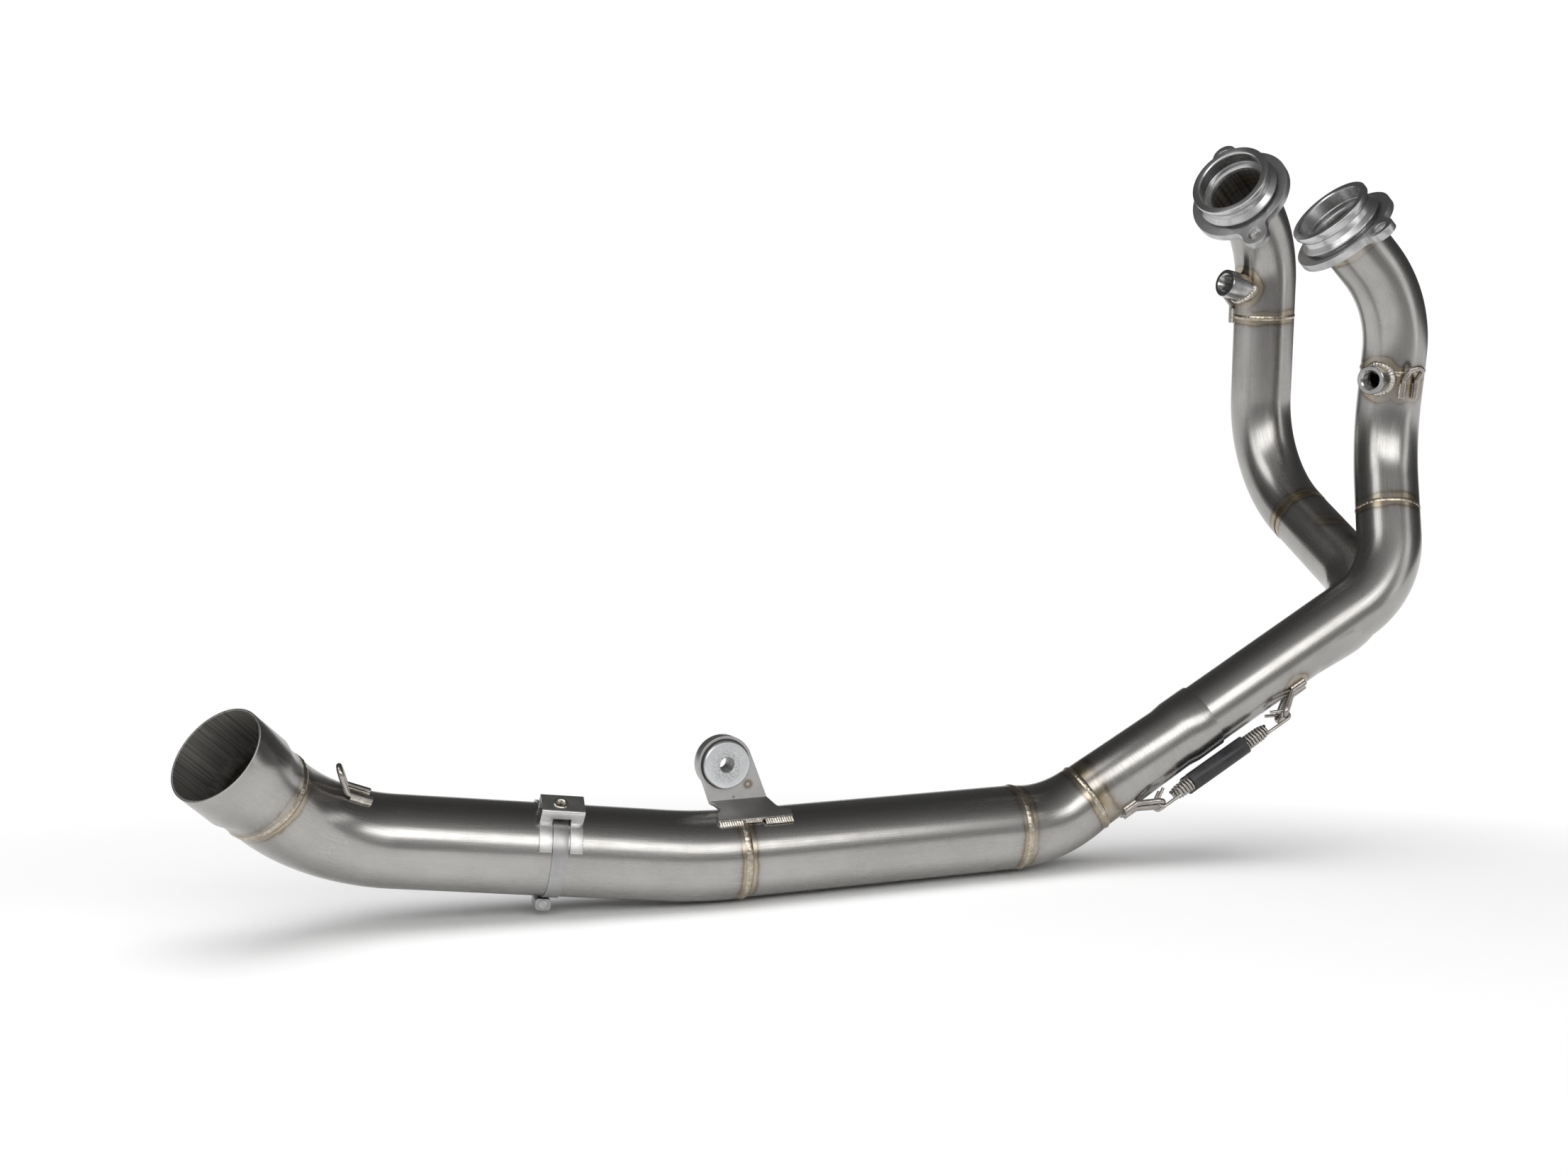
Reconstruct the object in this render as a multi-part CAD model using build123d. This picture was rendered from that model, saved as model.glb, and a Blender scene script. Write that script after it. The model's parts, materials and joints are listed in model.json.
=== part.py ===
# Two-into-one exhaust header of a twin-cylinder motorcycle, with its link pipe.
# Millimetres.  The origin is the centre of the near port, where its straight bore
# starts inside the mouth, +X to the right, +Y away from the viewer and +Z up, in the
# pose in which the header stands on a floor.
from build123d import *
from math import cos, radians, sin, tan
import os

os.makedirs("parts", exist_ok=True)

# Tube sizes
header_d = 38.1
header_wall = 1.2
leg_step = 0.35
far_leg_d = header_d - 2 * leg_step
rear_d = 49.5
joint_step = 0.5
link_d = rear_d - 2 * joint_step
pipe_wall = 1.2
seat_gap = 0.1

# Corners of the tubes' centre lines
near_mouth = Vector(0, 0, 0)
near_top = Vector(49.9, 18.2, -52.7)
near_knee = Vector(47.9, 33.7, -138.8)
merge_corner = Vector(43.0, -5.8, -222.0)
link_corner = Vector(-169.4, -57.3, -358.6)
link_kink = Vector(-372.1, -133.9, -359.1)
rear_corner = Vector(-566.7, -187.1, -334.9)
outlet_mouth = Vector(-602.7, -239.5, -281.0)
far_mouth = Vector(-48.1, 50.9, 23.1)
far_top = Vector(-15.0, 86.8, -7.0)
far_knee = Vector(-11.4, 109.8, -160.0)

# Centre-line bend radii
near_top_bend = 79
near_knee_bend = 85
merge_bend = 60
link_bend = 65
kink_bend = 250
rear_bend = 85
far_top_bend = 65
far_knee_bend = 75
far_merge_bend = 40

# Places of the seams, each measured along its run from the corner named first
near_seam_at = 41
near_low_seam_at = 45
far_seam_at = 52
far_low_seam_at = 55
far_leg_at = 12.6
far_leg_rise = 5.1
far_leg_end_at = 75
bell_edge_at = 144.5
male_end_at = 160
bell_step_at = 162
cone_start_at = 169
cone_end_at = 231
elbow_end_at = 24.1
link_end_at = 194.8
rear_seam_at = 44
swage_start_at = 53
swage_end_at = 59


def toward(a, b, s):
    return a + (b - a).normalized() * s


def radial(a, b, angle):
    # Square to the run a-b, turned by the angle from the side that faces -Y
    d = (b - a).normalized()
    front = Vector(0, -1, 0)
    front = (front - d * front.dot(d)).normalized()
    side = d.cross(front)
    return front * cos(radians(angle)) + side * sin(radians(angle))


collector_way = (link_corner - merge_corner).normalized()
collector_up = collector_way.cross(Vector(0, 1, 0)).normalized()
merge_far = toward(merge_corner, link_corner, far_leg_at) + collector_up * far_leg_rise
outlet_length = (outlet_mouth - rear_corner).length


def run_line(points, bends):
    if bends:
        return FilletPolyline(*points, radius=bends)
    return Line(*points)


def rod(points, bends, d):
    path = run_line(points, bends)
    return sweep(Plane(origin=path @ 0, z_dir=path % 0) * Circle(d / 2), path=path)


def pipe(points, bends, d, wall):
    path = run_line(points, bends)
    ring = Circle(d / 2) - Circle(d / 2 - wall)
    return sweep(Plane(origin=path @ 0, z_dir=path % 0) * ring, path=path)


def axis_plane(a, b, s):
    d = (b - a).normalized()
    return Plane(origin=toward(a, b, s), x_dir=radial(a, b, 0), z_dir=d)


def turned(outline, seat):
    # An outline of (radius, height) turned round the seat's axis
    face = make_face(Plane.XZ * outline)
    return seat * revolve(face, axis=Axis.Z)


def bead(seat, r_before, r_after, width, proud):
    crown = max(r_before, r_after) + proud
    start = (r_before, -width / 2)
    end = (r_after, width / 2)
    if r_before == r_after:
        base = Line(start, end)
    else:
        base = Polyline(start, (r_before, 0), (r_after, 0), end)
    return turned(base + ThreePointArc(start, (crown, 0), end), seat)


# Port spigots: heights are measured from the start of the bore toward the tube
spigot_step = 1.25
spigot_bore_r = header_d / 2 + spigot_step
register_wall = 2.5
register_r = spigot_bore_r + register_wall
lip_stand = 1.95
lip_r = register_r + lip_stand
lip_height = 2.1
band_stand = 0.4
band_r = register_r + band_stand
band_start = 5
cone_base = 8.5
collar_stand = 2.6
collar_r = band_r + collar_stand
collar_start = 11
collar_end = 12
neck_wall = 2.45
neck_r = header_d / 2 + neck_wall
spigot_end = 21
mouth_chamfer = 0.8
shoulder_start = 11
shoulder_end = 13.5
spigot_edge = 0.3
groove = 0.3

# Port flanges
flange_width = 10
flange_r = neck_r + flange_width
flange_thick = 5
flange_start = 14
flange_gap = 0.3
bolt_reach = 5.5
bolt_circle_r = flange_r + bolt_reach
bolt_hole_r = 4.2
ear_r = 8
ear_blend = 6
near_bolt_line = Vector(0.299, -0.953, -0.050)
far_bolt_line = Vector(0.105, -0.703, -0.701)


def port_spigot(mouth, corner):
    socket_r = header_d / 2 + seat_gap
    outline = Polyline(
        (spigot_bore_r + mouth_chamfer, -mouth_chamfer),
        (lip_r - spigot_edge, -mouth_chamfer),
        (lip_r, spigot_edge - mouth_chamfer),
        (lip_r, lip_height),
        (register_r, lip_height),
        (register_r, band_start - groove),
        (register_r - groove, band_start),
        (band_r, band_start),
        (band_r, cone_base),
        (collar_r, collar_start),
        (collar_r, collar_end),
        (neck_r, collar_end),
        (neck_r, spigot_end),
        (socket_r, spigot_end),
        (socket_r, shoulder_end),
        (header_d / 2 - header_wall, shoulder_end),
        (header_d / 2 - header_wall, shoulder_start),
        (spigot_bore_r, shoulder_start),
        (spigot_bore_r, 0),
        close=True,
    )
    return turned(outline, axis_plane(mouth, corner, 0))


def port_flange(mouth, corner, bolt_line):
    d = (corner - mouth).normalized()
    along = (bolt_line - d * bolt_line.dot(d)).normalized()
    seat = Plane(origin=toward(mouth, corner, flange_start), x_dir=along, z_dir=d)
    ears = SlotCenterToCenter(2 * bolt_circle_r, 2 * ear_r)
    face = Circle(flange_r) + ears
    inner_corners = [v for v in face.vertices() if abs(v.X) < flange_r]
    face = fillet(inner_corners, ear_blend)
    face -= Circle(neck_r + flange_gap)
    plate = extrude(face, flange_thick)
    holes = GridLocations(2 * bolt_circle_r, 0, 2, 1) * Cylinder(bolt_hole_r, 4 * flange_thick)
    return seat * (plate - holes)


def spigot_weld(mouth, corner):
    # Fillet of weld between the spigot's end and the tube
    tube_r = header_d / 2
    width = neck_r - tube_r
    legs = Polyline((tube_r, spigot_end + width), (tube_r, spigot_end), (neck_r, spigot_end))
    middle = (tube_r + width * 0.6, spigot_end + width * 0.6)
    face = ThreePointArc((tube_r, spigot_end + width), middle, (neck_r, spigot_end))
    return turned(legs + face, axis_plane(mouth, corner, 0))


def near_upper_bend():
    return pipe(
        [toward(near_mouth, near_top, shoulder_end), near_top,
         toward(near_top, near_knee, near_seam_at)],
        [near_top_bend], header_d, header_wall,
    ) - bung_bore(near_bung)


def near_down_tube():
    return pipe(
        [toward(near_top, near_knee, near_seam_at), near_knee,
         toward(near_knee, merge_corner, near_low_seam_at)],
        [near_knee_bend], header_d, header_wall,
    ) - bung_bore(near_bung)


def far_upper_bend():
    return pipe(
        [toward(far_mouth, far_top, shoulder_end), far_top,
         toward(far_top, far_knee, far_seam_at)],
        [far_top_bend], header_d, header_wall,
    ) - bung_bore(far_bung)


def far_down_tube():
    return pipe(
        [toward(far_top, far_knee, far_seam_at), far_knee,
         toward(far_knee, merge_far, far_low_seam_at)],
        [far_knee_bend], header_d, header_wall,
    )


def merge_collector():
    # Both legs run into one collector tube and share one hollow
    near_leg = [toward(near_knee, merge_corner, near_low_seam_at), merge_corner,
                toward(merge_corner, link_corner, male_end_at)]
    far_leg = [toward(far_knee, merge_far, far_low_seam_at), merge_far,
               toward(merge_corner, link_corner, far_leg_end_at)]
    bore = header_d - 2 * header_wall
    far_bore = far_leg_d - 2 * header_wall
    skin = rod(near_leg, [merge_bend], header_d) + rod(far_leg, [far_merge_bend], far_leg_d)
    hollow = rod(near_leg, [merge_bend], bore) + rod(far_leg, [far_merge_bend], far_bore)
    return skin - hollow


def collector_skin():
    return rod([merge_corner, link_corner], None, header_d)


# Slip joint: a belled sleeve over the collector's end, opening to the link pipe
sleeve_wall = 1.0
cone_step = 0.25
cone_small_d = header_d + 2 * cone_step
cone_rise = 1.2
cone_large_d = cone_small_d + 2 * cone_rise
elbow_step = 0.25
elbow_start_d = cone_large_d + 2 * elbow_step


def slip_sleeve():
    bell_r = header_d / 2 + seat_gap
    outline = Polyline(
        (bell_r, bell_edge_at),
        (bell_r + sleeve_wall, bell_edge_at),
        (bell_r + sleeve_wall, bell_step_at),
        (cone_small_d / 2, cone_start_at),
        (cone_large_d / 2, cone_end_at),
        (cone_large_d / 2 - sleeve_wall, cone_end_at),
        (cone_small_d / 2 - sleeve_wall, cone_start_at),
        (bell_r, bell_step_at),
        close=True,
    )
    return turned(outline, axis_plane(merge_corner, link_corner, 0))


def cone_bend(path, r_start, r_end, normal):
    # Round sections along the path, opening evenly
    steps = 8
    sections = []
    for i in range(steps + 1):
        t = i / steps
        seat = Plane(origin=path @ t, x_dir=normal, z_dir=path % t)
        sections.append(seat * Circle(r_start + (r_end - r_start) * t))
    return loft(sections)


def elbow_pipe():
    start = toward(merge_corner, link_corner, cone_end_at)
    end = toward(link_corner, link_kink, elbow_end_at)
    path = FilletPolyline(start, link_corner, end, radius=[link_bend])
    normal = (link_corner - start).cross(end - link_corner).normalized()
    skin = cone_bend(path, elbow_start_d / 2, link_d / 2, normal)
    hollow = cone_bend(path, elbow_start_d / 2 - pipe_wall, link_d / 2 - pipe_wall, normal)
    return skin - hollow


def link_pipe():
    ends = [toward(link_corner, link_kink, elbow_end_at),
            toward(link_corner, link_kink, link_end_at)]
    return pipe(ends, None, link_d, pipe_wall)


def rear_pipe():
    return pipe(
        [toward(link_corner, link_kink, link_end_at), link_kink, rear_corner,
         toward(rear_corner, outlet_mouth, rear_seam_at)],
        [kink_bend, rear_bend], rear_d, pipe_wall,
    )


# Outlet sleeve: swaged up to slide over the next pipe
outlet_neck_d = rear_d + joint_step
outlet_bore_r = 25.5
outlet_wall = 1.2


def outlet_sleeve():
    neck = outlet_neck_d / 2
    outline = Polyline(
        (neck - outlet_wall, rear_seam_at),
        (neck, rear_seam_at),
        (neck, swage_start_at),
        (outlet_bore_r + outlet_wall, swage_end_at),
        (outlet_bore_r + outlet_wall, outlet_length),
        (outlet_bore_r, outlet_length),
        (outlet_bore_r, swage_end_at),
        (neck - outlet_wall, swage_start_at),
        close=True,
    )
    return turned(outline, axis_plane(rear_corner, outlet_mouth, 0))


# Threaded bungs: (run start, run end, station, angle, height over the tube, tilt)
bung_d = 17.3
bung_hole_r = 5.45
bung_chamfer = 0.9
near_bung = (near_top, near_knee, 45, 43, 9, 0)
far_bung = (far_top, far_knee, 38, 62, 16, 15)
bung_weld_width = 2.4


def bung_plane(bung):
    a, b, s, angle, height, tilt = bung
    way = (b - a).normalized()
    out = radial(a, b, angle)
    z = out * cos(radians(tilt)) - way * sin(radians(tilt))
    return Plane(origin=toward(a, b, s), x_dir=z.cross(out.cross(way)), z_dir=z)


def bung_bore(bung):
    length = 2 * header_d
    return bung_plane(bung) * Pos(0, 0, length / 2) * Cylinder(bung_hole_r, length)


def bung_tube(bung, d):
    if bung is near_bung:
        return rod([near_mouth, near_top, near_knee, merge_corner],
                   [near_top_bend, near_knee_bend], d)
    return rod([far_mouth, far_top, far_knee, merge_far], [far_top_bend, far_knee_bend], d)


def sensor_bung(bung):
    top = header_d / 2 + bung[4]
    outline = Polyline(
        (bung_hole_r, 0),
        (bung_d / 2, 0),
        (bung_d / 2, top),
        (bung_hole_r + bung_chamfer, top),
        (bung_hole_r, top - bung_chamfer),
        close=True,
    )
    return turned(outline, bung_plane(bung)) - bung_tube(bung, header_d)


def bung_weld(bung):
    # A band of weld round the bung's foot, following the tube's curve
    seat = bung_plane(bung)
    reach = header_d / 2 + 2 * bung_weld_width
    around = seat * Pos(0, 0, reach / 2) * (
        Cylinder(bung_d / 2 + bung_weld_width, reach) - Cylinder(bung_d / 2, reach)
    )
    band = around & bung_tube(bung, header_d + 2 * bung_weld_width)
    return band - bung_tube(bung, header_d)


# Raised butt welds
weld_width = 3.4
weld_proud = 0.45


def seam_weld(a, b, s, d_before, d_after):
    return bead(axis_plane(a, b, s), d_before / 2, d_after / 2, weld_width, weld_proud)


# Hooks bent from round wire: two legs lie on a tube and the loop stands off it
hook_d = 3.2
hook_half = 4.2
hook_knee_bend = 3.5
hook_loop_bend = 3.9
spring_hook_half = 3.1
spring_hook_bend = 2.9
hook_weld_d = 4.2
hook_weld_gap = 0.05


def hook_place(a, b, angle):
    # Local frame: X along the run, Z away from the tube, origin on the axis at the corner a
    return Plane(origin=a, x_dir=(b - a).normalized(), z_dir=radial(a, b, angle))


def leg_height(tube_r, half):
    return (tube_r + hook_d / 2 + hook_weld_gap) ** 2 - half ** 2


def wire_hook(place, tube_r, leg_end, knee, tip, tip_height, half, loop_bend):
    low = leg_height(tube_r, half) ** 0.5
    path = FilletPolyline(
        (leg_end, half, low), (knee, half, low), (tip, half, tip_height),
        (tip, -half, tip_height), (knee, -half, low), (leg_end, -half, low),
        radius=[hook_knee_bend, loop_bend, loop_bend, hook_knee_bend],
    )
    wire = sweep(Plane(origin=path @ 0, z_dir=path % 0) * Circle(hook_d / 2), path=path)
    return place * wire


def hook_welds(place, tube_r, leg_end, knee, half, hook, tube):
    # Weld laid along both legs, down to the tube
    low = leg_height(tube_r, half) ** 0.5 - hook_d / 2
    pieces = []
    for side in (half, -half):
        middle = (leg_end + knee) / 2
        length = abs(knee - leg_end)
        blob = place * Pos(middle, side, low) * Rot(0, 90, 0) * Cylinder(hook_weld_d / 2, length)
        pieces += (blob - [hook, tube]).solids()
    return Compound(children=pieces)


# Header hooks: (run, angle, leg end, knee, loop tip)
header_hook_lift = 7.95
near_hook = (near_top, near_knee, -15, 56, 44.5, 36)
far_hook = (far_top, far_knee, 117, 57, 45.5, 37)
outlet_hook_arc = 31
outlet_hook_angle = -76
outlet_hook_leg = 7
outlet_hook_tip = 16
outlet_hook_lift = 12.25
outlet_hook_seat = 0.4

# Slip-joint springs: angles of the two springs and stations along the collector
near_spring_angle = -56
far_spring_angle = -89
spring_lift = 10.15
spring_r = header_d / 2 + spring_lift
upper_hook = (84, 94, 106.5)
lower_hook = (219, 210, 197)
upper_tube_r = header_d / 2
lower_seat = 0.95
lower_tube_r = cone_small_d / 2 + lower_seat
coil_start = 120
coil_end = 186
coil_pitch = 2.0
coil_wire_d = 1.6
coil_r = 4.45
coil_tip_r = 3.2
taper_length = 8
sleeve_start = 136.5
sleeve_end = 176.5
sleeve_r = 5.5
sleeve_gap = 0.1
tail_length = 5.5
tail_drop = 4.5


def spring_place(angle):
    return hook_place(merge_corner, link_corner, angle)


def spring_end(bar, coil, way):
    # Hook of spring wire round the bar of a wire hook, with its tail bent back
    turn = hook_d / 2 + coil_wire_d / 2 + hook_weld_gap
    far = bar - way * turn
    path = FilletPolyline(
        (coil + way * coil_wire_d, 0, spring_r + coil_tip_r - coil_wire_d / 2),
        (bar + way * 3.5, 0, spring_r + turn),
        (far, 0, spring_r + turn),
        (far, 0, spring_r - turn),
        (bar + way * tail_length, 0, spring_r - turn - tail_drop),
        radius=[2, turn - 0.05, turn - 0.05],
    )
    return sweep(Plane(origin=path @ 0, z_dir=path % 0) * Circle(coil_wire_d / 2), path=path)


def coil_body():
    # Close coils as a ridged tube, drawn in at both ends
    count = round((coil_end - coil_start) / coil_pitch)
    pitch = (coil_end - coil_start) / count
    ridges = []
    for i in range(count + 1):
        at = coil_start + i * pitch
        inset = min(at - coil_start, coil_end - at)
        grow = min(1, inset / taper_length)
        ridges.append((coil_tip_r + (coil_r - coil_tip_r) * grow, at))
    outline = []
    for i in range(count):
        middle = (ridges[i][1] + ridges[i + 1][1]) / 2
        crest = max(ridges[i][0], ridges[i + 1][0])
        hidden = sleeve_start + pitch < middle < sleeve_end - pitch
        root = crest - (0 if hidden else coil_wire_d / 2)
        if not hidden:
            outline += [(root, ridges[i][1]), (crest, middle)]
    outline.append((outline[-1][0] - coil_wire_d / 2, coil_end))
    core_r = coil_tip_r - coil_wire_d
    face = make_face(Polyline((core_r, coil_start), *outline, (core_r, coil_end), close=True))
    return Pos(0, 0, spring_r) * Rot(0, 90, 0) * revolve(Plane.XZ * face, axis=Axis.Z)


def spring(angle):
    shape = coil_body() + spring_end(upper_hook[2], coil_start, 1)
    shape += spring_end(lower_hook[2], coil_end, -1)
    return spring_place(angle) * shape


def spring_sleeve(angle):
    length = sleeve_end - sleeve_start
    tube = Cylinder(sleeve_r, length) - Cylinder(coil_r + sleeve_gap, length)
    middle = (sleeve_start + sleeve_end) / 2
    return spring_place(angle) * Pos(middle, 0, spring_r) * Rot(0, 90, 0) * tube


# Heat-shield clamp on the rear pipe: a hat-shaped saddle held down by a band
saddle_start = 111.3
saddle_end = 134.3
saddle_angle = -62
saddle_thick = 1.2
saddle_lift = 8.65
saddle_top_r = rear_d / 2 + saddle_lift
saddle_top_half = 7.2
saddle_foot_half = 6.4
saddle_reach = 51
saddle_bend = 1.6
tine_slot_start = 118
tine_slot_end = 127.6
band_at = 122.6
band_width = 8.2
band_thick = 0.7
clamp_gap = 0.05
insert_hole_r = 2.1
insert_r = 3.0
insert_flange_r = 4.0
insert_flange_thick = 0.5
insert_clearance = 0.9
insert_length = saddle_top_r - (rear_d / 2 + clamp_gap + band_thick) - insert_clearance
insert_at = 121.6
housing_angle = 88
housing_at = 119.6
housing_width = 8.6
housing_length = 13
housing_height = 6.4
screw_r = 2.6
screw_head_r = 3.4
screw_head_length = 4
screw_slot_width = 1
screw_slot_depth = 1.2


def clamp_section(angle, s):
    # X round the pipe toward the front, Y away from the pipe, Z along the run
    a, b = rear_corner, link_kink
    out = radial(a, b, angle)
    return Plane(origin=toward(a, b, s), x_dir=out.cross((b - a).normalized()), z_dir=(b - a).normalized())


def on_circle(r, angle):
    return (r * sin(radians(angle)), r * cos(radians(angle)))


def clamp_saddle():
    inner = rear_d / 2 + clamp_gap
    outer = inner + saddle_thick
    foot = saddle_foot_half
    foot_out = (foot, (outer ** 2 - foot ** 2) ** 0.5)
    foot_in = (foot - saddle_thick, (inner ** 2 - (foot - saddle_thick) ** 2) ** 0.5)
    top_out = (saddle_top_half, saddle_top_r)
    top_in = (saddle_top_half - saddle_thick, saddle_top_r - saddle_thick)
    half = [
        Line((0, saddle_top_r), top_out),
        Line(top_out, foot_out),
        ThreePointArc(foot_out, on_circle(outer, saddle_reach / 2 + 8), on_circle(outer, saddle_reach)),
        Line(on_circle(outer, saddle_reach), on_circle(inner, saddle_reach)),
        ThreePointArc(on_circle(inner, saddle_reach), on_circle(inner, saddle_reach / 2 + 8), foot_in),
        Line(foot_in, top_in),
        Line(top_in, (0, saddle_top_r - saddle_thick)),
        Line((0, saddle_top_r - saddle_thick), (0, saddle_top_r)),
    ]
    face = make_face(half)
    face += mirror(face, about=Plane.YZ)
    corners = [v for v in face.vertices() if abs(v.X) > saddle_thick and v.Y > saddle_top_r - 0.1]
    face = fillet(corners, saddle_bend)
    shape = extrude(face, saddle_end - saddle_start)
    slot_width = tine_slot_end - tine_slot_start
    slot_middle = (tine_slot_start + tine_slot_end) / 2 - saddle_start
    opening = saddle_foot_half - saddle_thick
    for side in (-1, 1):
        shape -= Pos(side * (opening + inner), inner / 2 + 1, slot_middle) * Box(
            2 * inner, inner + 4, slot_width
        )
    return clamp_section(saddle_angle, saddle_start) * (shape - insert_space())


def insert_space():
    return Pos(0, saddle_top_r, insert_at - saddle_start) * Rot(90, 0, 0) * Cylinder(insert_r, 4 * saddle_thick)


def clamp_insert():
    # Threaded insert: flange on the saddle's top, barrel below it
    outline = Polyline(
        (insert_hole_r, insert_flange_thick),
        (insert_flange_r, insert_flange_thick),
        (insert_flange_r, 0),
        (insert_r, 0),
        (insert_r, -insert_length),
        (insert_hole_r, -insert_length),
        close=True,
    )
    section = clamp_section(saddle_angle, insert_at)
    out = radial(rear_corner, link_kink, saddle_angle)
    seat = Plane(origin=section.origin + out * saddle_top_r, x_dir=section.x_dir, z_dir=out)
    return turned(outline, seat)


def clamp_band():
    inner = rear_d / 2 + clamp_gap
    ring = Circle(inner + band_thick) - Circle(inner)
    place = clamp_section(saddle_angle, band_at - band_width / 2)
    return place * extrude(ring, band_width)


def screw_axis():
    # Origin on the screw's axis under the band, Z toward the screw's head
    section = clamp_section(housing_angle, housing_at)
    out = radial(rear_corner, link_kink, housing_angle)
    drop = rear_d / 2 + clamp_gap + band_thick + clamp_gap + housing_height / 2
    return Plane(origin=section.origin + out * drop, x_dir=section.z_dir, z_dir=-section.x_dir)


def screw_housing():
    body = extrude(RectangleRounded(housing_width, housing_height, 2), housing_length / 2, both=True)
    body -= Cylinder(screw_r + clamp_gap, 2 * housing_length)
    over_band = rod(
        [toward(rear_corner, link_kink, saddle_start), toward(rear_corner, link_kink, saddle_end)],
        None, rear_d + 2 * (2 * clamp_gap + band_thick),
    )
    return screw_axis() * body - over_band


def band_screw():
    shank = Cylinder(screw_r, housing_length)
    head_at = housing_length / 2 + screw_head_length / 2
    head = Pos(0, 0, head_at) * extrude(
        RegularPolygon(screw_head_r, 6), screw_head_length / 2, both=True
    )
    slot = Pos(0, 0, head_at + screw_head_length / 2) * Rot(0, 0, 35) * Box(
        3 * screw_head_r, screw_slot_width, 2 * screw_slot_depth
    )
    return screw_axis() * (shank + head - slot)


# Hanger bracket on top of the link joint: plate, ring, rubber damper and two bushes
bush_at = 16
bush_lift = 25.85
bush_height = rear_d / 2 + bush_lift
lobe_r = 15.5
bracket_thick = 2
foot_tilt = 28
foot_gap = 0.2
fold_left = 7
fold_right = 40
foot_reach = 2.4
ring_r = 15.3
ring_bore_r = 13.9
ring_depth = 8
damper_bore_r = 7.1
damper_front = 1.0
bush_r = 13.2
bush_disc = 2.6
bush_stem_r = 7
bush_hole_r = 4.1
bush_chamfer = 0.7
bush_split = -3.5


def bracket_face():
    # X along the link pipe, Y up, Z toward the viewer; origin on the pipe's axis
    a, b = link_kink, link_corner
    return Plane(origin=a, x_dir=(b - a).normalized(), z_dir=radial(a, b, 0))


def foot_plane():
    # X along the link pipe, Y up the foot toward the fold, Z away from the pipe
    a, b = link_kink, link_corner
    out = radial(a, b, foot_tilt - 90)
    rest = rear_d / 2 + foot_gap
    return Plane(origin=a + out * rest, x_dir=(b - a).normalized(), z_dir=out)


def bracket_plate():
    t = bracket_thick
    fold_up = (rear_d / 2 + foot_gap + t) / cos(radians(foot_tilt))
    fold_along = fold_up * sin(radians(foot_tilt))
    lobe = Pos(bush_at, bush_height) * Circle(lobe_r)
    web = make_hull(
        (lobe + Pos((fold_left + fold_right) / 2, fold_up - 1) * Rectangle(fold_right - fold_left, 2)).edges()
    )
    upright = extrude(web, -t)
    upright -= Pos(bush_at, bush_height, 0) * Cylinder(ring_bore_r, 4 * t)
    upright = bracket_face() * upright
    outline = [
        (fold_left, fold_along), (9.5, 10.9), (11, 6.6), (8, 3.6), (fold_left, -foot_reach),
        (49.8, -foot_reach), (50.2, 2.7), (45, 4.2), (42.9, 7.4), (fold_right, fold_along),
    ]
    foot = foot_plane() * extrude(make_face(Polyline(*outline, close=True)), t)
    return upright + foot


def bush_seat(z):
    face = bracket_face()
    place = face.origin + face.x_dir * bush_at + face.y_dir * bush_height + face.z_dir * z
    return Plane(origin=place, x_dir=face.x_dir, z_dir=face.z_dir)


def bracket_ring():
    outline = Polyline(
        (ring_bore_r, -ring_depth), (ring_r, -ring_depth),
        (ring_r, -bracket_thick), (ring_bore_r, -bracket_thick), close=True,
    )
    return turned(outline, bush_seat(0))


def bracket_damper():
    outline = Polyline(
        (damper_bore_r, -ring_depth - damper_front), (ring_bore_r - seat_gap, -ring_depth - damper_front),
        (ring_bore_r - seat_gap, damper_front), (damper_bore_r, damper_front), close=True,
    )
    return turned(outline, bush_seat(0))


def bush(face_at, disc_top, stem_end):
    way = 1 if disc_top > face_at else -1
    outline = Polyline(
        (bush_hole_r, stem_end), (bush_stem_r, stem_end), (bush_stem_r, face_at),
        (bush_r, face_at), (bush_r, disc_top - way * bush_chamfer),
        (bush_r - bush_chamfer, disc_top), (bush_hole_r, disc_top), close=True,
    )
    return turned(outline, bush_seat(0))


def front_bush():
    return bush(damper_front, damper_front + bush_disc, bush_split)


def rear_bush():
    back = -ring_depth - damper_front
    return bush(back, back - bush_disc, bush_split - seat_gap)


# Fillet welds along the bracket's foot: (start, end, leg)
foot_welds = [(7.5, 21, 3.0), (22.5, 32.5, 1.2), (34, 50, 3.2)]
foot_weld_rise = 1.8
foot_weld_dip = 0.2
foot_weld_root = 3


def foot_weld(start, end, leg):
    # A triangular bead between the foot's edge and the pipe
    plane = foot_plane()
    base = -foot_reach
    corner = [
        plane.origin + plane.x_dir * start + plane.y_dir * y + plane.z_dir * z
        for y, z in ((base, foot_weld_rise), (base - leg, -foot_weld_dip), (base, -foot_weld_root))
    ]
    face = make_face(Polyline(*corner, close=True))
    body = extrude(face, end - start, dir=plane.x_dir)
    pipe_end = toward(link_kink, link_corner, end + 10)
    return body - rod([link_kink, pipe_end], None, rear_d + 2 * seat_gap)


def bracket_welds():
    return Compound(children=[foot_weld(*w).solid() for w in foot_welds])


def save(name, shape):
    shape.label = name
    export_step(shape, os.path.join("parts", name + ".step"))


def header_hook(name, spec):
    a, b, angle, leg_end, knee, tip = spec
    place = hook_place(a, b, angle)
    tube_r = header_d / 2
    height = tube_r + header_hook_lift
    tube = rod([a, b], None, header_d)
    hook = wire_hook(place, tube_r, leg_end, knee, tip, height, hook_half, hook_loop_bend) - tube
    welds = hook_welds(place, tube_r, leg_end, knee + 2, hook_half, hook, tube)
    save(name, hook)
    save(name + "_weld", welds)
    return hook, welds


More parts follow.
